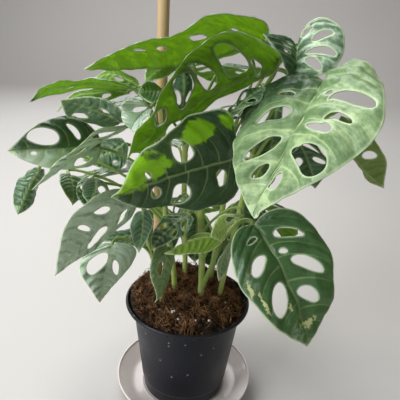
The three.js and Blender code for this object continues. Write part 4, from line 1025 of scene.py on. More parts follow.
def leaf_holes(leaf):
    """A leaf's holes, from its row or from their number on each side."""
    if isinstance(leaf["holes"], list):
        return leaf["holes"]
    holes = []
    count = leaf["holes"]
    for side in (1, -1):
        for i in range(count):
            seed = leaf["seed"] + 7 * i + (0 if side > 0 else 3)
            vein = 0.05 + 0.62 * (i + 0.3) / count
            length = 0.16 / count**0.9 * (0.75 + 0.4 * scatter(seed))
            holes.append((side, vein, 0.47 + 0.08 * scatter(seed + 1), length, 0.3 - 0.035 * i, 0, 0))
    return holes


def make_leaf(index, row):
    """A leaf's row with what it leaves out, its looks, its holes and its axes."""
    leaf = {**LEAF_DEFAULTS, "number": index + 1, "name": f"leaf_{index + 1:02d}", "seed": 10 * index, **row}
    leaf.update(LOOKS.get(index + 1, {}))
    leaf["holes"] = leaf_holes(leaf)
    base = np.array(leaf["base"], float)
    along = np.array(leaf["tip"], float) - base
    length = float(np.linalg.norm(along))
    x_axis = along / length
    up = np.array((0, 0, 1.0))
    level = unit(up - up.dot(x_axis) * x_axis)
    roll = math.radians(leaf["roll"])
    z_axis = level * math.cos(roll) + np.cross(x_axis, level) * math.sin(roll)
    leaf.update(base=base, length=length, x_axis=x_axis, z_axis=z_axis, y_axis=np.cross(z_axis, x_axis))
    return leaf


LEAVES = [make_leaf(i, row) for i, row in enumerate(LEAF_ROWS)]


def on_leaf(leaf, x_flat, y):
    """Where points of the flat leaf lie in space: x in leaf lengths, y in half widths."""
    out = np.abs(y)
    side = np.where(y >= 0, 1.0, -1.0)
    length = leaf["length"]
    x = x_flat - LOBE * out * (1 - x_flat) ** 3
    late = np.maximum(x - HOOK_FROM, 0) / (1 - HOOK_FROM)
    rise = 4 * leaf["arch"] * x * (1 - x) - leaf["hook"] * late**2
    slope = 4 * leaf["arch"] * (1 - 2 * x) - 2 * leaf["hook"] * late / (1 - HOOK_FROM)
    fold = np.radians(np.where(y >= 0, leaf["fold"][0], leaf["fold"][1]))
    lift = fold - math.radians(leaf["droop"]) * out / 2
    reach = out * leaf["width"] / 2
    ripple = leaf["wave"] * out**2 * np.sin(2 * np.pi * (WAVES * x + WAVE_SHIFT * side + leaf["phase"]))
    sideways = reach * np.cos(lift) * side
    height = reach * np.sin(lift) + ripple
    turn = math.radians(leaf["twist"]) * (x - TWIST_ABOUT)
    across = sideways * np.cos(turn) - height * np.sin(turn)
    above = sideways * np.sin(turn) + height * np.cos(turn)
    curve = length * math.sin(math.radians(leaf["bend"])) * x * (1 - x)
    normal = leaf["z_axis"] - slope[:, None] * leaf["x_axis"]
    normal /= np.linalg.norm(normal, axis=1)[:, None]
    return (leaf["base"] + leaf["x_axis"] * (x * length)[:, None] + leaf["z_axis"] * (rise * length)[:, None]
            + leaf["y_axis"] * (across + curve)[:, None] + normal * above[:, None])


def leaf_normals(leaf, x, y):
    """The unit normals of the leaf's surface at flat points."""
    step = 0.004
    ahead = on_leaf(leaf, x + step, y) - on_leaf(leaf, x - step, y)
    across = on_leaf(leaf, x, y + step) - on_leaf(leaf, x, y - step)
    normal = np.cross(ahead, across)
    return normal / np.linalg.norm(normal, axis=1)[:, None]


# Steps between the places where side veins leave the midrib, as shares of its length: on a leaf with no
# holes, the widest one between holes, those behind and ahead of the holes, and the step beside a hole.
VEINS = {
    "plain": 0.13, "first": -0.45, "count": 11, "widest": 0.26, "behind": 0.14, "ahead": 0.11, "hole": 0.035,
}


def vein_starts(leaf, side):
    """Where the side veins leave the midrib: between the holes and evenly beyond them."""
    mine = [hole for hole in leaf["holes"] if hole[0] == side]
    spans = []
    for low, high in sorted((vein - half, vein + half) for _, vein, _, half, *_ in mine):
        if spans and low < spans[-1][1] + 0.01:
            spans[-1][1] = max(high, spans[-1][1])
        else:
            spans.append([low, high])
    shift = 0.03 * side + 0.03 * scatter(leaf["seed"] + side)
    if not spans:
        return [VEINS["first"] + VEINS["plain"] * i + shift for i in range(VEINS["count"])]
    starts = [(a[1] + b[0]) / 2 for a, b in zip(spans, spans[1:])]
    starts = [spans[0][0] - VEINS["hole"]] + starts + [spans[-1][1] + VEINS["hole"]]
    full = [starts[0]]
    for start in starts[1:]:
        if start - full[-1] > VEINS["widest"]:
            full.append((start + full[-1]) / 2)
        full.append(start)
    while full[0] > -0.4:
        full.insert(0, full[0] - VEINS["behind"])
    while full[-1] < 0.9:
        full.append(full[-1] + VEINS["ahead"])
    return full


def along_vein(leaf, s, r, side):
    """The flat point r of the way out along the side vein that leaves the midrib at s."""
    x = s + SWEEP * r**1.6 * (1 - s)
    return np.stack([x, side * r * half_width(leaf, side, x)], -1)


def vein_place(leaf, x, y):
    """For flat points: the vein phase, whole on each side vein, and the signed share of the way out."""
    margin = np.where(y >= 0, half_width(leaf, 1, x), half_width(leaf, -1, x))
    r = np.clip(np.abs(y) / np.maximum(margin, 1e-3), 0, 1)
    reach = SWEEP * r**1.6
    s = (x - reach) / (1 - reach)
    phase = np.zeros(len(x))
    for side in (1, -1):
        starts = vein_starts(leaf, side)
        mine = (y >= 0) if side > 0 else (y < 0)
        phase[mine] = np.interp(s[mine], starts, range(len(starts)))
    return phase, r * np.where(y >= 0, 1, -1)


def spaced(path, pitch, closed):
    """Points evenly along a path, both ends kept, or all round a closed one."""
    if closed:
        path = np.concatenate([path, path[:1]])
    steps = np.linalg.norm(np.diff(path, axis=0), axis=1)
    run = np.concatenate([[0], np.cumsum(steps)])
    count = max(int(math.ceil(run[-1] / pitch)), 8)
    at = np.linspace(0, run[-1], count + 1)
    points = np.stack([np.interp(at, run, path[:, k]) for k in (0, 1)], 1)
    return points[:-1] if closed else points


def inside(points, loop):
    """Which points lie within a closed loop."""
    x, y = points[:, 0, None], points[:, 1, None]
    x0, y0 = loop[:, 0][None], loop[:, 1][None]
    x1, y1 = np.roll(loop[:, 0], -1)[None], np.roll(loop[:, 1], -1)[None]
    crossing = (y0 > y) != (y1 > y)
    rise = np.where(y1 == y0, 1, y1 - y0)
    return (crossing & (x < (x1 - x0) * (y - y0) / rise + x0)).sum(1) % 2 == 1


def thinned(points, fixed, clear):
    """The points that keep clear of the fixed ones and of those taken before them."""
    taken = {}
    for x, y in fixed:
        taken.setdefault((int(x // clear), int(y // clear)), []).append((x, y))
    kept = []
    limit = clear * clear
    for x, y in points:
        cx, cy = int(x // clear), int(y // clear)
        near = (q for i in (-1, 0, 1) for j in (-1, 0, 1) for q in taken.get((cx + i, cy + j), ()))
        if all((x - a) ** 2 + (y - b) ** 2 >= limit for a, b in near):
            kept.append((x, y))
            taken.setdefault((cx, cy), []).append((x, y))
    return np.array(kept).reshape(-1, 2)


def hole_loop(leaf, hole, index, size, pitch):
    """A hole's outline on the flat blade: a leaning oval between two side veins, a little uneven."""
    side, vein, middle, half_length, half_reach, lean, taper = hole
    angle = np.linspace(0, 2 * np.pi, 97)[:-1]
    seed = 2 * np.pi * scatter(leaf["seed"] + 31 * index)
    uneven = 1 + 0.05 * np.sin(2 * angle + seed) + 0.03 * np.sin(3 * angle - seed)
    s = vein + half_length * np.sin(angle) * (1 + taper * np.cos(angle)) * uneven + lean * np.cos(angle)
    r = np.clip(middle + half_reach * np.cos(angle) * uneven, 0.01, 0.97)
    return spaced(along_vein(leaf, s, r, side) * size, pitch, True)


# ---------------------------------------------------------------- blades

# How finely a blade is meshed. Its points are a pitch apart, less on a short leaf and round its holes.
MESHING = {"pitch": 1.7, "small_pitch": 1.35, "small_below": 85, "hole_share": 0.85}
EDGE_ROW = 0.75  # how far from every edge a row of points lies on either side
EDGE_CLEAR = 0.62  # how near those points may come to others
MIDRIB_ROWS = (0.9, -0.9, 2.0, -2.0)
INNER_CLEAR = 0.82  # how near any other points may come, as a share of the pitch
ROW_HEIGHT = 0.866  # height of an even triangle by its side


def flat_blade(leaf):
    """The blade laid flat, in millimetres: its points, its triangles, its margin and its holes."""
    pitch = MESHING["pitch"] if leaf["length"] > MESHING["small_below"] else MESHING["small_pitch"]
    size = np.array((leaf["length"], leaf["width"] / 2))
    t = np.linspace(0, 1, 300)
    s = 0.5 * t**1.7 + 0.5 * (1 - (1 - t) ** 1.3)
    left, right = (spaced(np.stack([s, side * half_width(leaf, side, s)], 1) * size, pitch, False)
                   for side in (1, -1))
    margin = np.concatenate([left, right[-2:0:-1]])
    hole_pitch = pitch * MESHING["hole_share"]
    holes = [hole_loop(leaf, hole, i, size, hole_pitch) for i, hole in enumerate(leaf["holes"])]
    midrib = np.stack([np.linspace(0, leaf["length"], int(leaf["length"] / pitch) + 1)[1:-1]] * 2, 1) * (1, 0)
    loops = [margin] + holes
    fixed = np.concatenate(loops + [midrib])
    edges = []
    start = 0
    for loop in loops:
        count = len(loop)
        edges += [(start + i, start + (i + 1) % count) for i in range(count)]
        start += count
    tip = len(left) - 1
    rib = [0] + list(range(start, start + len(midrib))) + [tip]
    edges += list(zip(rib, rib[1:]))

    def on_blade(points):
        keep = inside(points, margin)
        for hole in holes:
            keep &= ~inside(points, hole)
        return keep

    def usable(points):
        return points[on_blade(points)]

    lips = []
    for loop in loops:
        tangent = np.roll(loop, -1, 0) - np.roll(loop, 1, 0)
        outward = np.stack([tangent[:, 1], -tangent[:, 0]], 1) / np.linalg.norm(tangent, axis=1)[:, None]
        lips += [loop + outward * EDGE_ROW, loop - outward * EDGE_ROW]
    lips = thinned(usable(np.concatenate(lips)), fixed, EDGE_CLEAR)
    fixed_lips = np.concatenate([fixed, lips])
    grid = [midrib + (0, offset) for offset in MIDRIB_ROWS]
    out = np.linspace(0.05, 0.99, int(leaf["width"] / 2 / pitch))
    for side in (1, -1):
        starts = vein_starts(leaf, side)
        for low, high in zip(starts, starts[1:]):
            steps = max(2, 2 * round((high - low) * leaf["length"] / pitch / 2))
            for k in range(steps):
                grid.append(along_vein(leaf, low + (high - low) * k / steps, out, side) * size)
    nx, ny = int(leaf["length"] / pitch), int(leaf["width"] / pitch / ROW_HEIGHT)
    i, j = np.meshgrid(np.arange(nx), np.arange(ny), indexing="ij")
    filler = np.stack([(i + 0.5 * (j % 2)) * pitch, -leaf["width"] / 2 + j * pitch * ROW_HEIGHT], -1)
    grid.append(filler.reshape(-1, 2))
    inner = thinned(usable(np.concatenate(grid)), fixed_lips, INNER_CLEAR * pitch)
    points = np.concatenate([fixed_lips, inner])
    found, _, faces, *_ = delaunay_2d_cdt([Vector(p) for p in points], edges, [], 0, 1e-5)
    found = np.array([tuple(p) for p in found])
    faces = np.array([tuple(f) for f in faces])
    a, b, c = (found[faces[:, k]] for k in range(3))
    faces = faces[on_blade((a + b + c) / 3)]
    used = np.unique(faces)
    renumber = np.full(len(found), -1)
    renumber[used] = np.arange(len(used))
    return found[used], renumber[faces], margin, holes


def distance_to(points, others):
    """How far each point is from the nearest of the others."""
    return np.sqrt(((points[:, None, :] - others[None]) ** 2).sum(2).min(1))


# Heights on a blade 100 mm wide: the skin rises between the side veins, less so within calm of an edge,
# the edges turn down, a groove runs along the top of the midrib, and the midrib and the side veins stand
# out below. ridge_reach is a share of the way between two side veins. A ripple is (wavelength, height).
RELIEF = {
    "pillow": 2.6, "calm": 5, "edge": 0.8, "edge_reach": 1.6, "groove": 0.5, "groove_reach": 1.1,
    "rib": 2.2, "rib_reach": 1.7, "ridge": 0.35, "ridge_reach": 0.06,
}
RIPPLES = ((34, 0.54), (19, 0.30), (10, 0.132))
BLOT_BREADTH = 1.6  # the breadth of a patch, glow or curl in half widths, for each leaf length along it
NO_HOLE = 99.0  # stands for the distance to a hole on a blade that has none
UV_STEP = 40  # side veins from one leaf's number to the next, so that no two leaves share a pattern


def blade_relief(leaf, points, phase, out, to_edge):
    """How far the blade's upper face is lifted at each point, and how thick the blade is there."""
    scale = min(leaf["width"] / 100, 1.1)
    pillow = np.sqrt(np.sin(np.pi * phase) ** 2 + 0.02) - math.sqrt(0.02)
    body = np.clip(np.sin(np.pi * np.clip(out, 0, 1)), 0, 1) ** 0.6
    calm = 0.35 + 0.65 * np.clip(to_edge / RELIEF["calm"], 0, 1)
    lift = RELIEF["pillow"] * scale * pillow * body * calm
    lift -= RELIEF["edge"] * scale * bell(to_edge, RELIEF["edge_reach"])
    rng = random.Random(leaf["number"])
    for wavelength, height in RIPPLES:
        for _ in range(3):
            angle = rng.uniform(0, 2 * math.pi)
            wave = (points[:, 0] * math.cos(angle) + points[:, 1] * math.sin(angle)) / wavelength
            lift += height * scale * np.sin(2 * np.pi * wave + rng.uniform(0, 6.28))
    to_rib = np.abs(points[:, 1])
    taper = midrib_taper(points[:, 0] / leaf["length"])
    lift -= RELIEF["groove"] * scale * bell(to_rib, RELIEF["groove_reach"]) * taper
    share = to_rib / (RELIEF["rib_reach"] * max(scale, 0.5))
    rib = RELIEF["rib"] * max(scale, 0.4) * np.sqrt(np.clip(1 - share**2, 0, 1)) * taper
    ridge = RELIEF["ridge"] * scale * bell(phase - np.round(phase), RELIEF["ridge_reach"]) * (1 - out)
    return lift, SHEET + rib + ridge


def midrib_taper(x):
    """How much of the midrib's size is left at a share of the leaf's length."""
    return np.clip(1 - x, 0, 1) ** 0.6


def blade_fields(leaf, x, y, to_edge, to_hole):
    """The numbers that each point of the upper face carries for its material."""
    # Painted sheen: one half of the blade paler than the other, and patches of tone that partly stand for
    # sheen.
    tone = leaf["tone"] + leaf["painted_sheen_split"] * np.tanh(8 * y)
    for at_x, at_y, reach, change in leaf["patches"]:
        tone += change * blot(x, y, at_x, at_y, reach, BLOT_BREADTH * reach)
    # Painted glow, which also lets more light through the blade.
    glow = np.zeros(len(x))
    for at_x, at_y, reach, strength in leaf["glows"]:
        away = np.sqrt(((x - at_x) / reach) ** 2 + ((y - at_y) / (BLOT_BREADTH * reach)) ** 2)
        glow = np.maximum(glow, strength * np.clip(1.5 - away, 0, 1))
    # Painted shade along the edges of the holes and in given blots.
    curl = leaf["lips"] * bell(to_hole, 1.4)
    for at_x, at_y, reach, strength in leaf["curls"]:
        curl += strength * blot(x, y, at_x, at_y, reach, BLOT_BREADTH * reach)
    scar = np.zeros(len(x))
    for at_x, at_y, length, breadth in leaf["scars"]:
        scar += blot(x, y, at_x, at_y, length, breadth)
    to_rib = np.abs(y) * leaf["width"] / 2
    fields = {
        "tone": np.clip(tone, 0, 1.4), "glow": np.clip(glow, 0, 1), "scar": np.clip(scar, 0, 1),
        "rim": bell(to_edge, 1.1), "rib": np.clip(1.3 - to_rib / 1.1, 0, 1) * (0.4 + 0.6 * midrib_taper(x)),
        "curl": np.clip(curl, 0, 1),
    }
    for label in ("painted_sheen", "warm", "thin", "gloss"):
        fields[label] = np.full(len(x), leaf[label])
    return fields


def add_blade(leaf):
    """One blade: an upper and a lower face over the same flat points, with walls along every edge."""
    points, faces, margin, holes = flat_blade(leaf)
    x, y = (points / (leaf["length"], leaf["width"] / 2)).T
    phase, across = vein_place(leaf, x, y)
    to_hole = distance_to(points, np.concatenate(holes)) if holes else np.full(len(points), NO_HOLE)
    to_edge = np.minimum(distance_to(points, margin), to_hole)
    lift, thick = blade_relief(leaf, points, phase, np.abs(across), to_edge)
    normal = leaf_normals(leaf, np.clip(x, 0.004, 0.996), y)
    upper = on_leaf(leaf, x, y) + normal * lift[:, None]
    lower = upper - normal * thick[:, None]
    count = len(points)
    pairs = {(int(face[i - 1]), int(face[i])) for face in faces for i in range(3)}
    walls = sorted((a, a + count, b + count, b) for a, b in pairs if (b, a) not in pairs)
    all_faces = [tuple(face) for face in faces] + [tuple(face[::-1] + count) for face in faces] + walls
    top_fields = blade_fields(leaf, x, y, to_edge, to_hole)
    fields = {label: np.tile(values, 2) for label, values in top_fields.items()}
    fields["under"] = np.repeat((0.0, 1.0), count)
    uv = np.tile(np.stack([phase + UV_STEP * leaf["number"], across], 1), (2, 1))
    young = leaf["number"] in YOUNG
    blade = add_mesh(f"blade_{leaf['number']:02d}", np.concatenate([upper, lower]), all_faces,
                     YOUNG_LEAF if young else LEAF, fields, uv)
    finish_piece(blade, "young_leaf" if young else "leaf_green", leaf["name"])


# ---------------------------------------------------------------- stems and stalks


def stem_curve(line, t):
    """A point of the smooth centre line through a stem's points, t from 0 to 1."""
    points = [np.array(p, float) for p in line]
    last = len(points) - 1
    at = t * last
    i = min(int(at), last - 1)
    w = at - i
    p0 = points[i - 1] if i > 0 else 2 * points[0] - points[1]
    p1, p2 = points[i], points[i + 1]
    p3 = points[i + 2] if i + 2 <= last else 2 * points[last] - points[last - 1]
    d0, d1, d2 = (math.sqrt(np.linalg.norm(b - a)) for a, b in ((p0, p1), (p1, p2), (p2, p3)))
    m1 = ((p1 - p0) / d0 - (p2 - p0) / (d0 + d1) + (p2 - p1) / d1) * d1
    m2 = ((p2 - p1) / d1 - (p3 - p1) / (d1 + d2) + (p3 - p2) / d2) * d1
    return p1 + m1 * w + (-3 * p1 + 3 * p2 - 2 * m1 - m2) * w**2 + (2 * p1 - 2 * p2 + m1 + m2) * w**3


def tube(path, radii, sides, share_at=None):
    """Points and faces of a bar along a path, closed at its ends. share_at shapes its section by angle."""
    path = np.asarray(path, float)
    tangents = np.gradient(path, axis=0)
    across = None
    points = []
    for i, (centre, tangent) in enumerate(zip(path, tangents)):
        tangent = unit(tangent)
        if across is None:
            start = np.array((0, 0, 1.0)) if abs(tangent[2]) < 0.9 else np.array((1.0, 0, 0))
            across = np.cross(start, tangent)
        across = unit(across - tangent * across.dot(tangent))
        other = np.cross(tangent, across)
        for k in range(sides):
            angle = 2 * math.pi * k / sides
            reach = radii[i] * (share_at(angle) if share_at else 1)
            points.append(centre + reach * (across * math.cos(angle) + other * math.sin(angle)))
    count = len(path)
    faces = []
    for i in range(count - 1):
        for k in range(sides):
            n = (k + 1) % sides
            faces.append((i * sides + k, i * sides + n, (i + 1) * sides + n, (i + 1) * sides + k))
    first, last = len(points), len(points) + 1
    points += [path[0], path[-1]]
    for k in range(sides):
        n = (k + 1) % sides
        faces.append((first, n, k))
        faces.append((last, (count - 1) * sides + k, (count - 1) * sides + n))
    return np.array(points), faces


def stalk_path(leaf, line):
    """A curved line from the stem at the leaf's node to just below the leaf's base."""
    base, x_axis, z_axis = leaf["base"], leaf["x_axis"], leaf["z_axis"]
    low, high = 0.0, 1.0
    while high - low > 1e-4:
        middle = (low + high) / 2
        if stem_curve(line, middle)[2] < leaf["node"]:
            low = middle
        else:
            high = middle
    start = stem_curve(line, low)
    distance = np.linalg.norm(base - start)
    handle = leaf["reach"] * distance
    away = -0.24 * handle * x_axis - 0.2 * handle * z_axis
    end = base - 0.7 * z_axis
    leave = start + 0.2 * (base - start) + np.array((0, 0, leaf["upright"] * distance))
    arrive = end + away
    t = np.linspace(0, 1, STALK["steps"])[:, None]
    return (1 - t) ** 3 * start + 3 * (1 - t) ** 2 * t * leave + 3 * (1 - t) * t**2 * arrive + t**3 * end


def groove(angle):
    """A stalk's share of its radius at an angle round it: a groove runs along its top."""
    return 1 - STALK["groove"] * max(math.cos(angle), 0) ** 3


def stalk_radii(leaf, t):
    """A stalk's radius along its length: thick where it leaves the stem, with a joint near the blade."""
    size = min(max(leaf["length"] / STALK["full_length"], 0.55), 1.0)
    thin = leaf["thick"] * (0.72 + 0.28 * size)
    thick = thin + (STALK["swell"] * leaf["thick"] - thin) * bell(t, 0.13)
    return thick + STALK["joint_swell"] * bell(t - STALK["joint_at"], 0.035)


def add_stem(name):
    """A stem with its knots and the stalks that grow from it, in one mesh."""
    radius, line = STEMS[name]
    carried = [leaf for leaf in LEAVES if leaf["stem"] == name]
    steps, sides = STEM_SHAPE["steps"], STEM_SHAPE["sides"]
    path = np.array([stem_curve(line, i / steps) for i in range(steps + 1)])
    heights = path[:, 2]
    radii = np.full(steps + 1, float(radius))
    knot = np.zeros(steps + 1)
    for leaf in carried:
        near = bell(heights - leaf["node"], STEM_SHAPE["knot_length"])
        radii += STEM_SHAPE["knot_swell"] * near
        knot = np.maximum(knot, near)
    from_end = np.linalg.norm(path - path[-1], axis=1)
    radii *= np.clip(np.sqrt(np.clip(from_end / STEM_SHAPE["end_length"], 0, 1)), STEM_SHAPE["end_share"], 1)
    above_brown = np.clip(heights - rim_top - STEM_SHAPE["brown_height"], 0, None)
    foot = np.exp(-above_brown / STEM_SHAPE["brown_fade"])
    parts = [(tube(path, radii, sides), np.repeat(knot, sides), np.repeat(foot, sides), 0)]
    for leaf in carried:
        curve = stalk_path(leaf, line)
        t = np.linspace(0, 1, len(curve))
        joint = 0.5 * bell(t - STALK["joint_at"], 0.03)
        n = STALK["sides"]
        stalk = tube(curve, stalk_radii(leaf, t), n, groove)
        parts.append((stalk, np.repeat(joint, n), np.zeros(len(curve) * n), 1))
    points, faces, knots, feet, stalks = [], [], [], [], []
    for (part_points, part_faces), part_knot, part_foot, is_stalk in parts:
        shift = sum(len(p) for p in points)
        points.append(part_points)
        faces += [tuple(v + shift for v in face) for face in part_faces]
        knots.append(np.concatenate([part_knot, part_knot[:1], part_knot[-1:]]))
        feet.append(np.concatenate([part_foot, part_foot[:1], part_foot[-1:]]))
        stalks.append(np.full(len(part_points), float(is_stalk)))
    fields = {"knot": np.concatenate(knots), "foot": np.concatenate(feet), "stalk": np.concatenate(stalks)}
    stem = add_mesh(f"grown_stem_{name}", np.concatenate(points), faces, STEM, fields)
    finish_piece(stem, "stem_green", f"stem_{name}")


# ---------------------------------------------------------------- potting soil

# Heights are over the pot's rim, and high_towards is where the mound's edge is highest, in degrees.
SOIL = {"crown": 12, "edge_high": 5, "edge_low": -10, "high_towards": 125, "relief": 2.6}
SOIL_MESH = {"rings": 56, "sectors": 150}
CRUMBLE = ((0.13, 1.8), (0.4, 0.8))  # scale and height of the soil's uneven surface
BARE = {"x": 30, "y": -52, "half_width": 26, "half_depth": 16, "share": 0.8}  # where few strands lie


def mound_height(x, y):
    """The mound's height, higher at the pot's back left, with lumps from a few crossed waves."""
    r = math.hypot(x, y) / pot_inside
    towards = math.radians(SOIL["high_towards"])
    across = (x * math.cos(towards) + y * math.sin(towards)) / pot_inside
    edge = SOIL["edge_low"] + (across + 1) / 2 * (SOIL["edge_high"] - SOIL["edge_low"])
    dome = (SOIL["crown"] - edge) * (1 - r**2.2) + edge
    lumps = math.sin(0.21 * x + 0.8) * math.sin(0.19 * y - 0.4) + 0.6 * math.sin(0.47 * x - 0.31 * y)
    return rim_top + dome + SOIL["relief"] * lumps * (1 - r**4)


def soil_reach(z):
    """The soil's radius against the pot's wall at a height."""
    return pot_outside(z) - POT["wall"] - GAP


def soil_mesh():
    """Points and faces of the soil: rings over the mound, and the sides and bottom that fill the pot."""
    rings, sectors = SOIL_MESH["rings"], SOIL_MESH["sectors"]
    angles = [2 * math.pi * k / sectors for k in range(sectors)]
    points = [(0, 0, mound_height(0, 0))]
    faces = [(0, 1 + k, 1 + (k + 1) % sectors) for k in range(sectors)]
    for ring in range(1, rings + 1):
        for angle in angles:
            reach = pot_inside * ring / rings
            x, y = reach * math.cos(angle), reach * math.sin(angle)
            z = mound_height(x, y)
            if ring == rings:
                reach = soil_reach(z)
                x, y = reach * math.cos(angle), reach * math.sin(angle)
            else:
                place = Vector((x, y, z))
                z += sum(height * noise.fractal(place * scale, 0.8, 2.1, 3) for scale, height in CRUMBLE)
            points.append((x, y, z))
    bottom = pot_foot + POT["floor"] + GAP
    for z in (neck_height - 6, bottom):
        points += [(soil_reach(z) * math.cos(angle), soil_reach(z) * math.sin(angle), z) for angle in angles]
    for ring in range(rings + 1):
        low, high = 1 + ring * sectors, 1 + (ring + 1) * sectors
        for k in range(sectors):
            n = (k + 1) % sectors
            faces.append((low + k, high + k, high + n, low + n))
    last = 1 + (rings + 1) * sectors
    points.append((0, 0, bottom))
    faces += [(len(points) - 1, last + (k + 1) % sectors, last + k) for k in range(sectors)]
    return points, faces


def strand_tree():
    """Bent strands strewn over a surface, as thickly as the numbers of its points say."""
    tree = bpy.data.node_groups.new("strewn_strands", "GeometryNodeTree")
    build = Build(tree)
    tree.interface.new_socket("Geometry", in_out="OUTPUT", socket_type="NodeSocketGeometry")
    sockets = {}
    for label, kind in (("Geometry", "NodeSocketGeometry"), ("Density", NUMBER), ("Length", NUMBER),
                        ("Thickness", NUMBER), ("Curl", NUMBER), ("Rise", NUMBER), ("Seed", "NodeSocketInt"),
                        ("Material", "NodeSocketMaterial")):
        sockets[label] = tree.interface.new_socket(label, in_out="INPUT", socket_type=kind).identifier
    given = build.add("NodeGroupInput").outputs
    # points over the surface
    share = build.add("GeometryNodeInputNamedAttribute", {"data_type": "FLOAT"}, Name="strewn").outputs[0]
    points = build.add("GeometryNodeDistributePointsOnFaces", {"distribute_method": "RANDOM"},
                       Mesh=given["Geometry"], Density=build.times(given["Density"], share),
                       Seed=given["Seed"])
    # one slender strand
    half = build.times(given["Length"], 0.5)
    ends = [build.add("ShaderNodeCombineXYZ", X=x).outputs[0] for x in (build.times(half, -1.0), half)]
    line = build.add("GeometryNodeCurvePrimitiveLine", Start=ends[0], End=ends[1])
    line = build.add("GeometryNodeResampleCurve", Curve=line.outputs[0], Count=6)
    along = build.add("GeometryNodeSplineParameter").outputs["Factor"]
    slender = build.times(build.maths("SINE", build.times(along, math.pi)), 0.8)
    ring = build.add("GeometryNodeCurvePrimitiveCircle", Resolution=3, Radius=given["Thickness"])
    strand = build.add("GeometryNodeCurveToMesh", Curve=line.outputs[0], Profile_Curve=ring.outputs[0],
                       Scale=build.plus(slender, 0.2), Fill_Caps=True)
    # a strand on every point, lying any way round and of any size
    turn = build.tree.nodes.new("FunctionNodeRandomValue")
    turn.data_type = "FLOAT_VECTOR"
    build.feed(turn.inputs[0], (-0.5, -0.5, 0.0))
    build.feed(turn.inputs[1], (0.5, 0.5, 2 * math.pi))
    build.feed(turn.inputs["Seed"], given["Seed"])
    turn = build.add("FunctionNodeEulerToRotation", Euler=turn.outputs[0])
    turn = build.add("FunctionNodeRotateRotation", {"rotation_space": "LOCAL"},
                     Rotation=points.outputs["Rotation"], Rotate_By=turn.outputs[0])
    size = build.tree.nodes.new("FunctionNodeRandomValue")
    size.data_type = "FLOAT"
    build.feed(size.inputs[2], 0.45)
    build.feed(size.inputs[3], 1.25)
    build.feed(size.inputs["Seed"], build.plus(given["Seed"], 7.0))
    strewn = build.add("GeometryNodeInstanceOnPoints", Points=points.outputs["Points"],
                       Instance=strand.outputs[0], Rotation=turn.outputs[0], Scale=size.outputs[1])
    # each bent by noise and lifted
    loose = build.add("GeometryNodeRealizeInstances", Geometry=strewn.outputs[0])
    place = build.add("GeometryNodeInputPosition").outputs[0]
    drift = build.add("ShaderNodeTexNoise", Vector=place, Scale=130.0, Detail=1.0).outputs["Color"]
    drift = build.vector("SUBTRACT", drift, (0.5, 0.5, 0.5))
    spread = build.tree.nodes.new("ShaderNodeVectorMath")
    spread.operation = "SCALE"
    build.feed(spread.inputs[0], drift)
    build.feed(spread.inputs["Scale"], given["Curl"])
    lift = build.add("ShaderNodeCombineXYZ", Z=given["Rise"]).outputs[0]
    moved = build.add("GeometryNodeSetPosition", Geometry=loose.outputs[0],
                      Offset=build.vector("ADD", spread.outputs[0], lift))
    moved = build.add("GeometryNodeRealizeInstances", Geometry=moved.outputs[0])
    done = build.add("GeometryNodeSetMaterial", Geometry=moved.outputs[0], Material=given["Material"])
    out = build.add("NodeGroupOutput")
    build.feed(out.inputs[0], done.outputs[0])
    return tree, sockets


def add_strands(name, surface, tree, sockets, material, **sizes):
    """A mesh of strands over a surface, from the tree with its sizes set."""
    obj = bpy.data.objects.new(name, surface.data.copy())
    bpy.context.scene.collection.objects.link(obj)
    strew = obj.modifiers.new("strew", "NODES")
    strew.node_group = tree
    for label, value in sizes.items():
        strew[sockets[label]] = value
    strew[sockets["Material"]] = material
    apply_modifiers(obj)
    obj.data.materials.clear()
    obj.data.materials.append(material)
    finish_piece(obj, "potting_soil")


STRANDS = {
    "coir_fibre": (COIR, {
        "Density": 170000.0, "Length": 16 * MM, "Thickness": 0.48 * MM, "Curl": 11 * MM, "Rise": 2.4 * MM,
        "Seed": 3,
    }),
    "coir_dust": (CRUMBS, {
        "Density": 300000.0, "Length": 5 * MM, "Thickness": 0.7 * MM, "Curl": 5 * MM, "Rise": 1.2 * MM,
        "Seed": 11,
    }),
}
CLODS = 170
PERLITE_BITS = 12
STREWN_SEED = 5
LUMP_SEED = 8


def rock(rng, radius, centre):
    """Points and faces of one small uneven lump."""
    ball = bmesh.new()
    bmesh.ops.create_icosphere(ball, subdivisions=2, radius=1)
    shift = Vector((rng.uniform(0, 99), rng.uniform(0, 99), rng.uniform(0, 99)))
    points = []
    for vert in ball.verts:
        swell = 1 + 0.35 * noise.noise(vert.co * 1.3 + shift)
        points.append(np.array(vert.co * swell) * radius * (1, 1, 0.8) + centre)
    faces = [tuple(v.index for v in face.verts) for face in ball.faces]
    ball.free()
    return points, faces


def scatter_lumps(name, rng, count, angles, reaches, sizes, rise, material):
    """Lumps strewn over the mound, rise above it, between two angles and two shares of its radius."""
    shapes = random.Random(LUMP_SEED)
    points, faces = [], []
    for _ in range(count):
        angle = rng.uniform(*angles)
        reach = pot_inside * math.sqrt(rng.uniform(reaches[0] ** 2, reaches[1] ** 2))
        x, y = reach * math.cos(angle), reach * math.sin(angle)
        part, part_faces = rock(shapes, rng.uniform(*sizes), np.array((x, y, mound_height(x, y) + rise)))
        faces += [tuple(v + len(points) for v in face) for face in part_faces]
        points += part
    finish_piece(add_mesh(name, points, faces, material), "potting_soil")


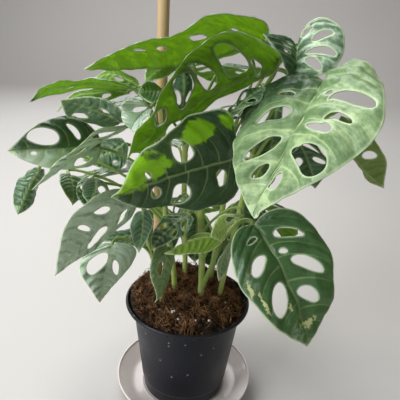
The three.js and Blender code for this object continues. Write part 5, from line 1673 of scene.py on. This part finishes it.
def strewn_share(x, y, z):
    """How thickly strands lie at a point of the soil: less near the rim and on one bare patch, none below."""
    if z <= neck_height - 5:
        return 0.0
    reach = math.hypot(x, y) / pot_inside
    bare = blot(x, y, BARE["x"], BARE["y"], BARE["half_width"], BARE["half_depth"])
    return max(0.0, 1 - max(reach - 0.82, 0) * 6) * (1 - BARE["share"] * bare)


def add_soil():
    """The soil with its fibres, dust, clods and perlite."""
    points, faces = soil_mesh()
    soil = add_mesh("soil_mound", points, faces, PEAT, {"strewn": [strewn_share(*point) for point in points]})
    finish_piece(soil, "potting_soil", "potting_soil")
    tree, sockets = strand_tree()
    for name, (material, sizes) in STRANDS.items():
        add_strands(name, soil, tree, sockets, material, **sizes)
    rng = random.Random(STREWN_SEED)
    scatter_lumps("soil_clods", rng, CLODS, (-math.pi, math.pi), (0, 0.82), (1.8, 4.2), 0, CRUMBS)
    scatter_lumps("perlite", rng, PERLITE_BITS, (-2.4, -0.3), (0.65, 0.84), (0.7, 1.6), 2.6, PERLITE)


# ---------------------------------------------------------------- floor

SWEEP_FLOOR = {"half": 4000, "front": -3000, "back": 1900, "bend": 500, "top": 3000}
FLOOR_COLOUR = (0.55, 0.53, 0.51)
FLOOR_ROUGHNESS = 0.6


def make_sweep():
    """A plain pale floor that bends up into a wall behind the plant."""
    half, front, back, bend, top = (SWEEP_FLOOR[key] for key in ("half", "front", "back", "bend", "top"))
    angles = [math.radians(9 * k) for k in range(11)]
    line = [(front, 0)] + [(back + bend * math.sin(a), bend - bend * math.cos(a)) for a in angles]
    line.append((back + bend, top))
    points = [(x, y, z) for y, z in line for x in (-half, half)]
    faces = [(2 * i, 2 * i + 1, 2 * i + 3, 2 * i + 2) for i in range(len(line) - 1)]
    return add_mesh("floor", points, faces, plain_material("floor", FLOOR_COLOUR, FLOOR_ROUGHNESS))


# ---------------------------------------------------------------- assembly

add_saucer()
add_pot()
add_stake()
add_soil()
for stem_name in STEMS:
    add_stem(stem_name)
for each_leaf in LEAVES:
    add_blade(each_leaf)

make_sweep()
